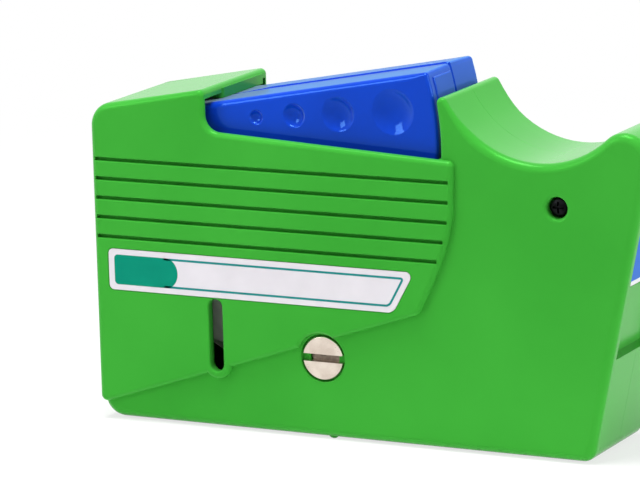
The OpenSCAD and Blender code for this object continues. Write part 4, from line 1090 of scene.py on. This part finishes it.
edge, backR, frontR = pad["edge"], pad["faceR"] - pad["deep"], pad["faceR"] - tape["seat"]
rings = [padRing(backR + edge * out, edge * up) for out, up in quarter(4)]
rings += [padRing(frontR - edge * up, edge * out) for out, up in quarter(4)]
padPiece = ringSolid("head_pad_moulded", rings)
finish(padPiece, silicone, "head_pad", angle=40)

# The supply reel's brake
felt = dict(bore=3.03, radius=5.0, y0=7.25, y1=7.6, soft=0.08)
soft = felt["soft"]
section = [(felt["bore"], felt["y0"] + soft), (felt["bore"] + soft, felt["y0"]),
           (felt["radius"] - soft, felt["y0"]), (felt["radius"], felt["y0"] + soft)]
section += [(r, felt["y0"] + felt["y1"] - y) for r, y in reversed(section)]
brake = lathe("brake_felt_ring", bosses["supply"], section, 64, ring=True)
finish(brake, redFelt, "brake_washer", angle=50)

# The pawls' small springs: direction is the leg's, in degrees
hair = dict(wire=0.18, radius=1.98, turns=2, y0=-7.55, pitch=0.4, leg=4.0)


def pawlSpring(pawl, centre, direction, body):
    points = []
    for i in range(hair["turns"] * 24 + 1):
        p = polar(centre, hair["radius"], direction + 90 + 360 * hair["turns"] - 15 * i)
        points.append(toFrame(p.x, hair["y0"] - hair["pitch"] * i / 24, p.y))
    ahead = polar((0, 0), hair["leg"] * mm, direction)
    points += [points[-1] + Vector((ahead.x, 0, ahead.y)) * k / 4 for k in range(1, 5)]
    piece = wire(pawl + "_hairspring", points, hair["wire"] * mm, 8)
    finish(piece, steel, pawl + "_spring", body, 60)


pawlSpring("drive_pawl", drivePivot, -112.6, "lever")
pawlSpring("holding_pawl", bosses["holding"], 130.0, "case")
print("tape, pad, felt and small springs made")

# CAD nodes that keep their shape: a finish, and a small break along their edges
plain = [
    (brass, ["coin_nut"]), (greyAbs, ["window_plate"]), (blueAbs, ["shutter"]),
    (darkAbs, ["head_frame", "supply_reel", "takeup_reel"]),
    (steel, ["lever_pin", "drive_pawl_pin", "holding_pawl_pin", "supply_axle", "takeup_axle",
             "roller_axles"]),
    (acetal, ["drive_pawl", "holding_pawl", "ratchet_wheel", "thrust_washers", "guide_roller_low",
              "guide_roller_corner", "guide_roller_top"]),
]
edgeBreak = dict(width=0.15, segments=2, angle=35, weld=0.001)
for material, part in [(look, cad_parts[node]) for look, nodes in plain for node in nodes]:
    part.data.materials.clear()
    part.data.materials.append(material)
    part.modifiers.new("weld", "WELD").merge_threshold = edgeBreak["weld"] * mm
    bevel = part.modifiers.new("edges", "BEVEL")
    bevel.width, bevel.segments = edgeBreak["width"] * mm, edgeBreak["segments"]
    bevel.limit_method, bevel.angle_limit = "ANGLE", radians(edgeBreak["angle"])
    bevel.harden_normals = True
print("inner parts finished")
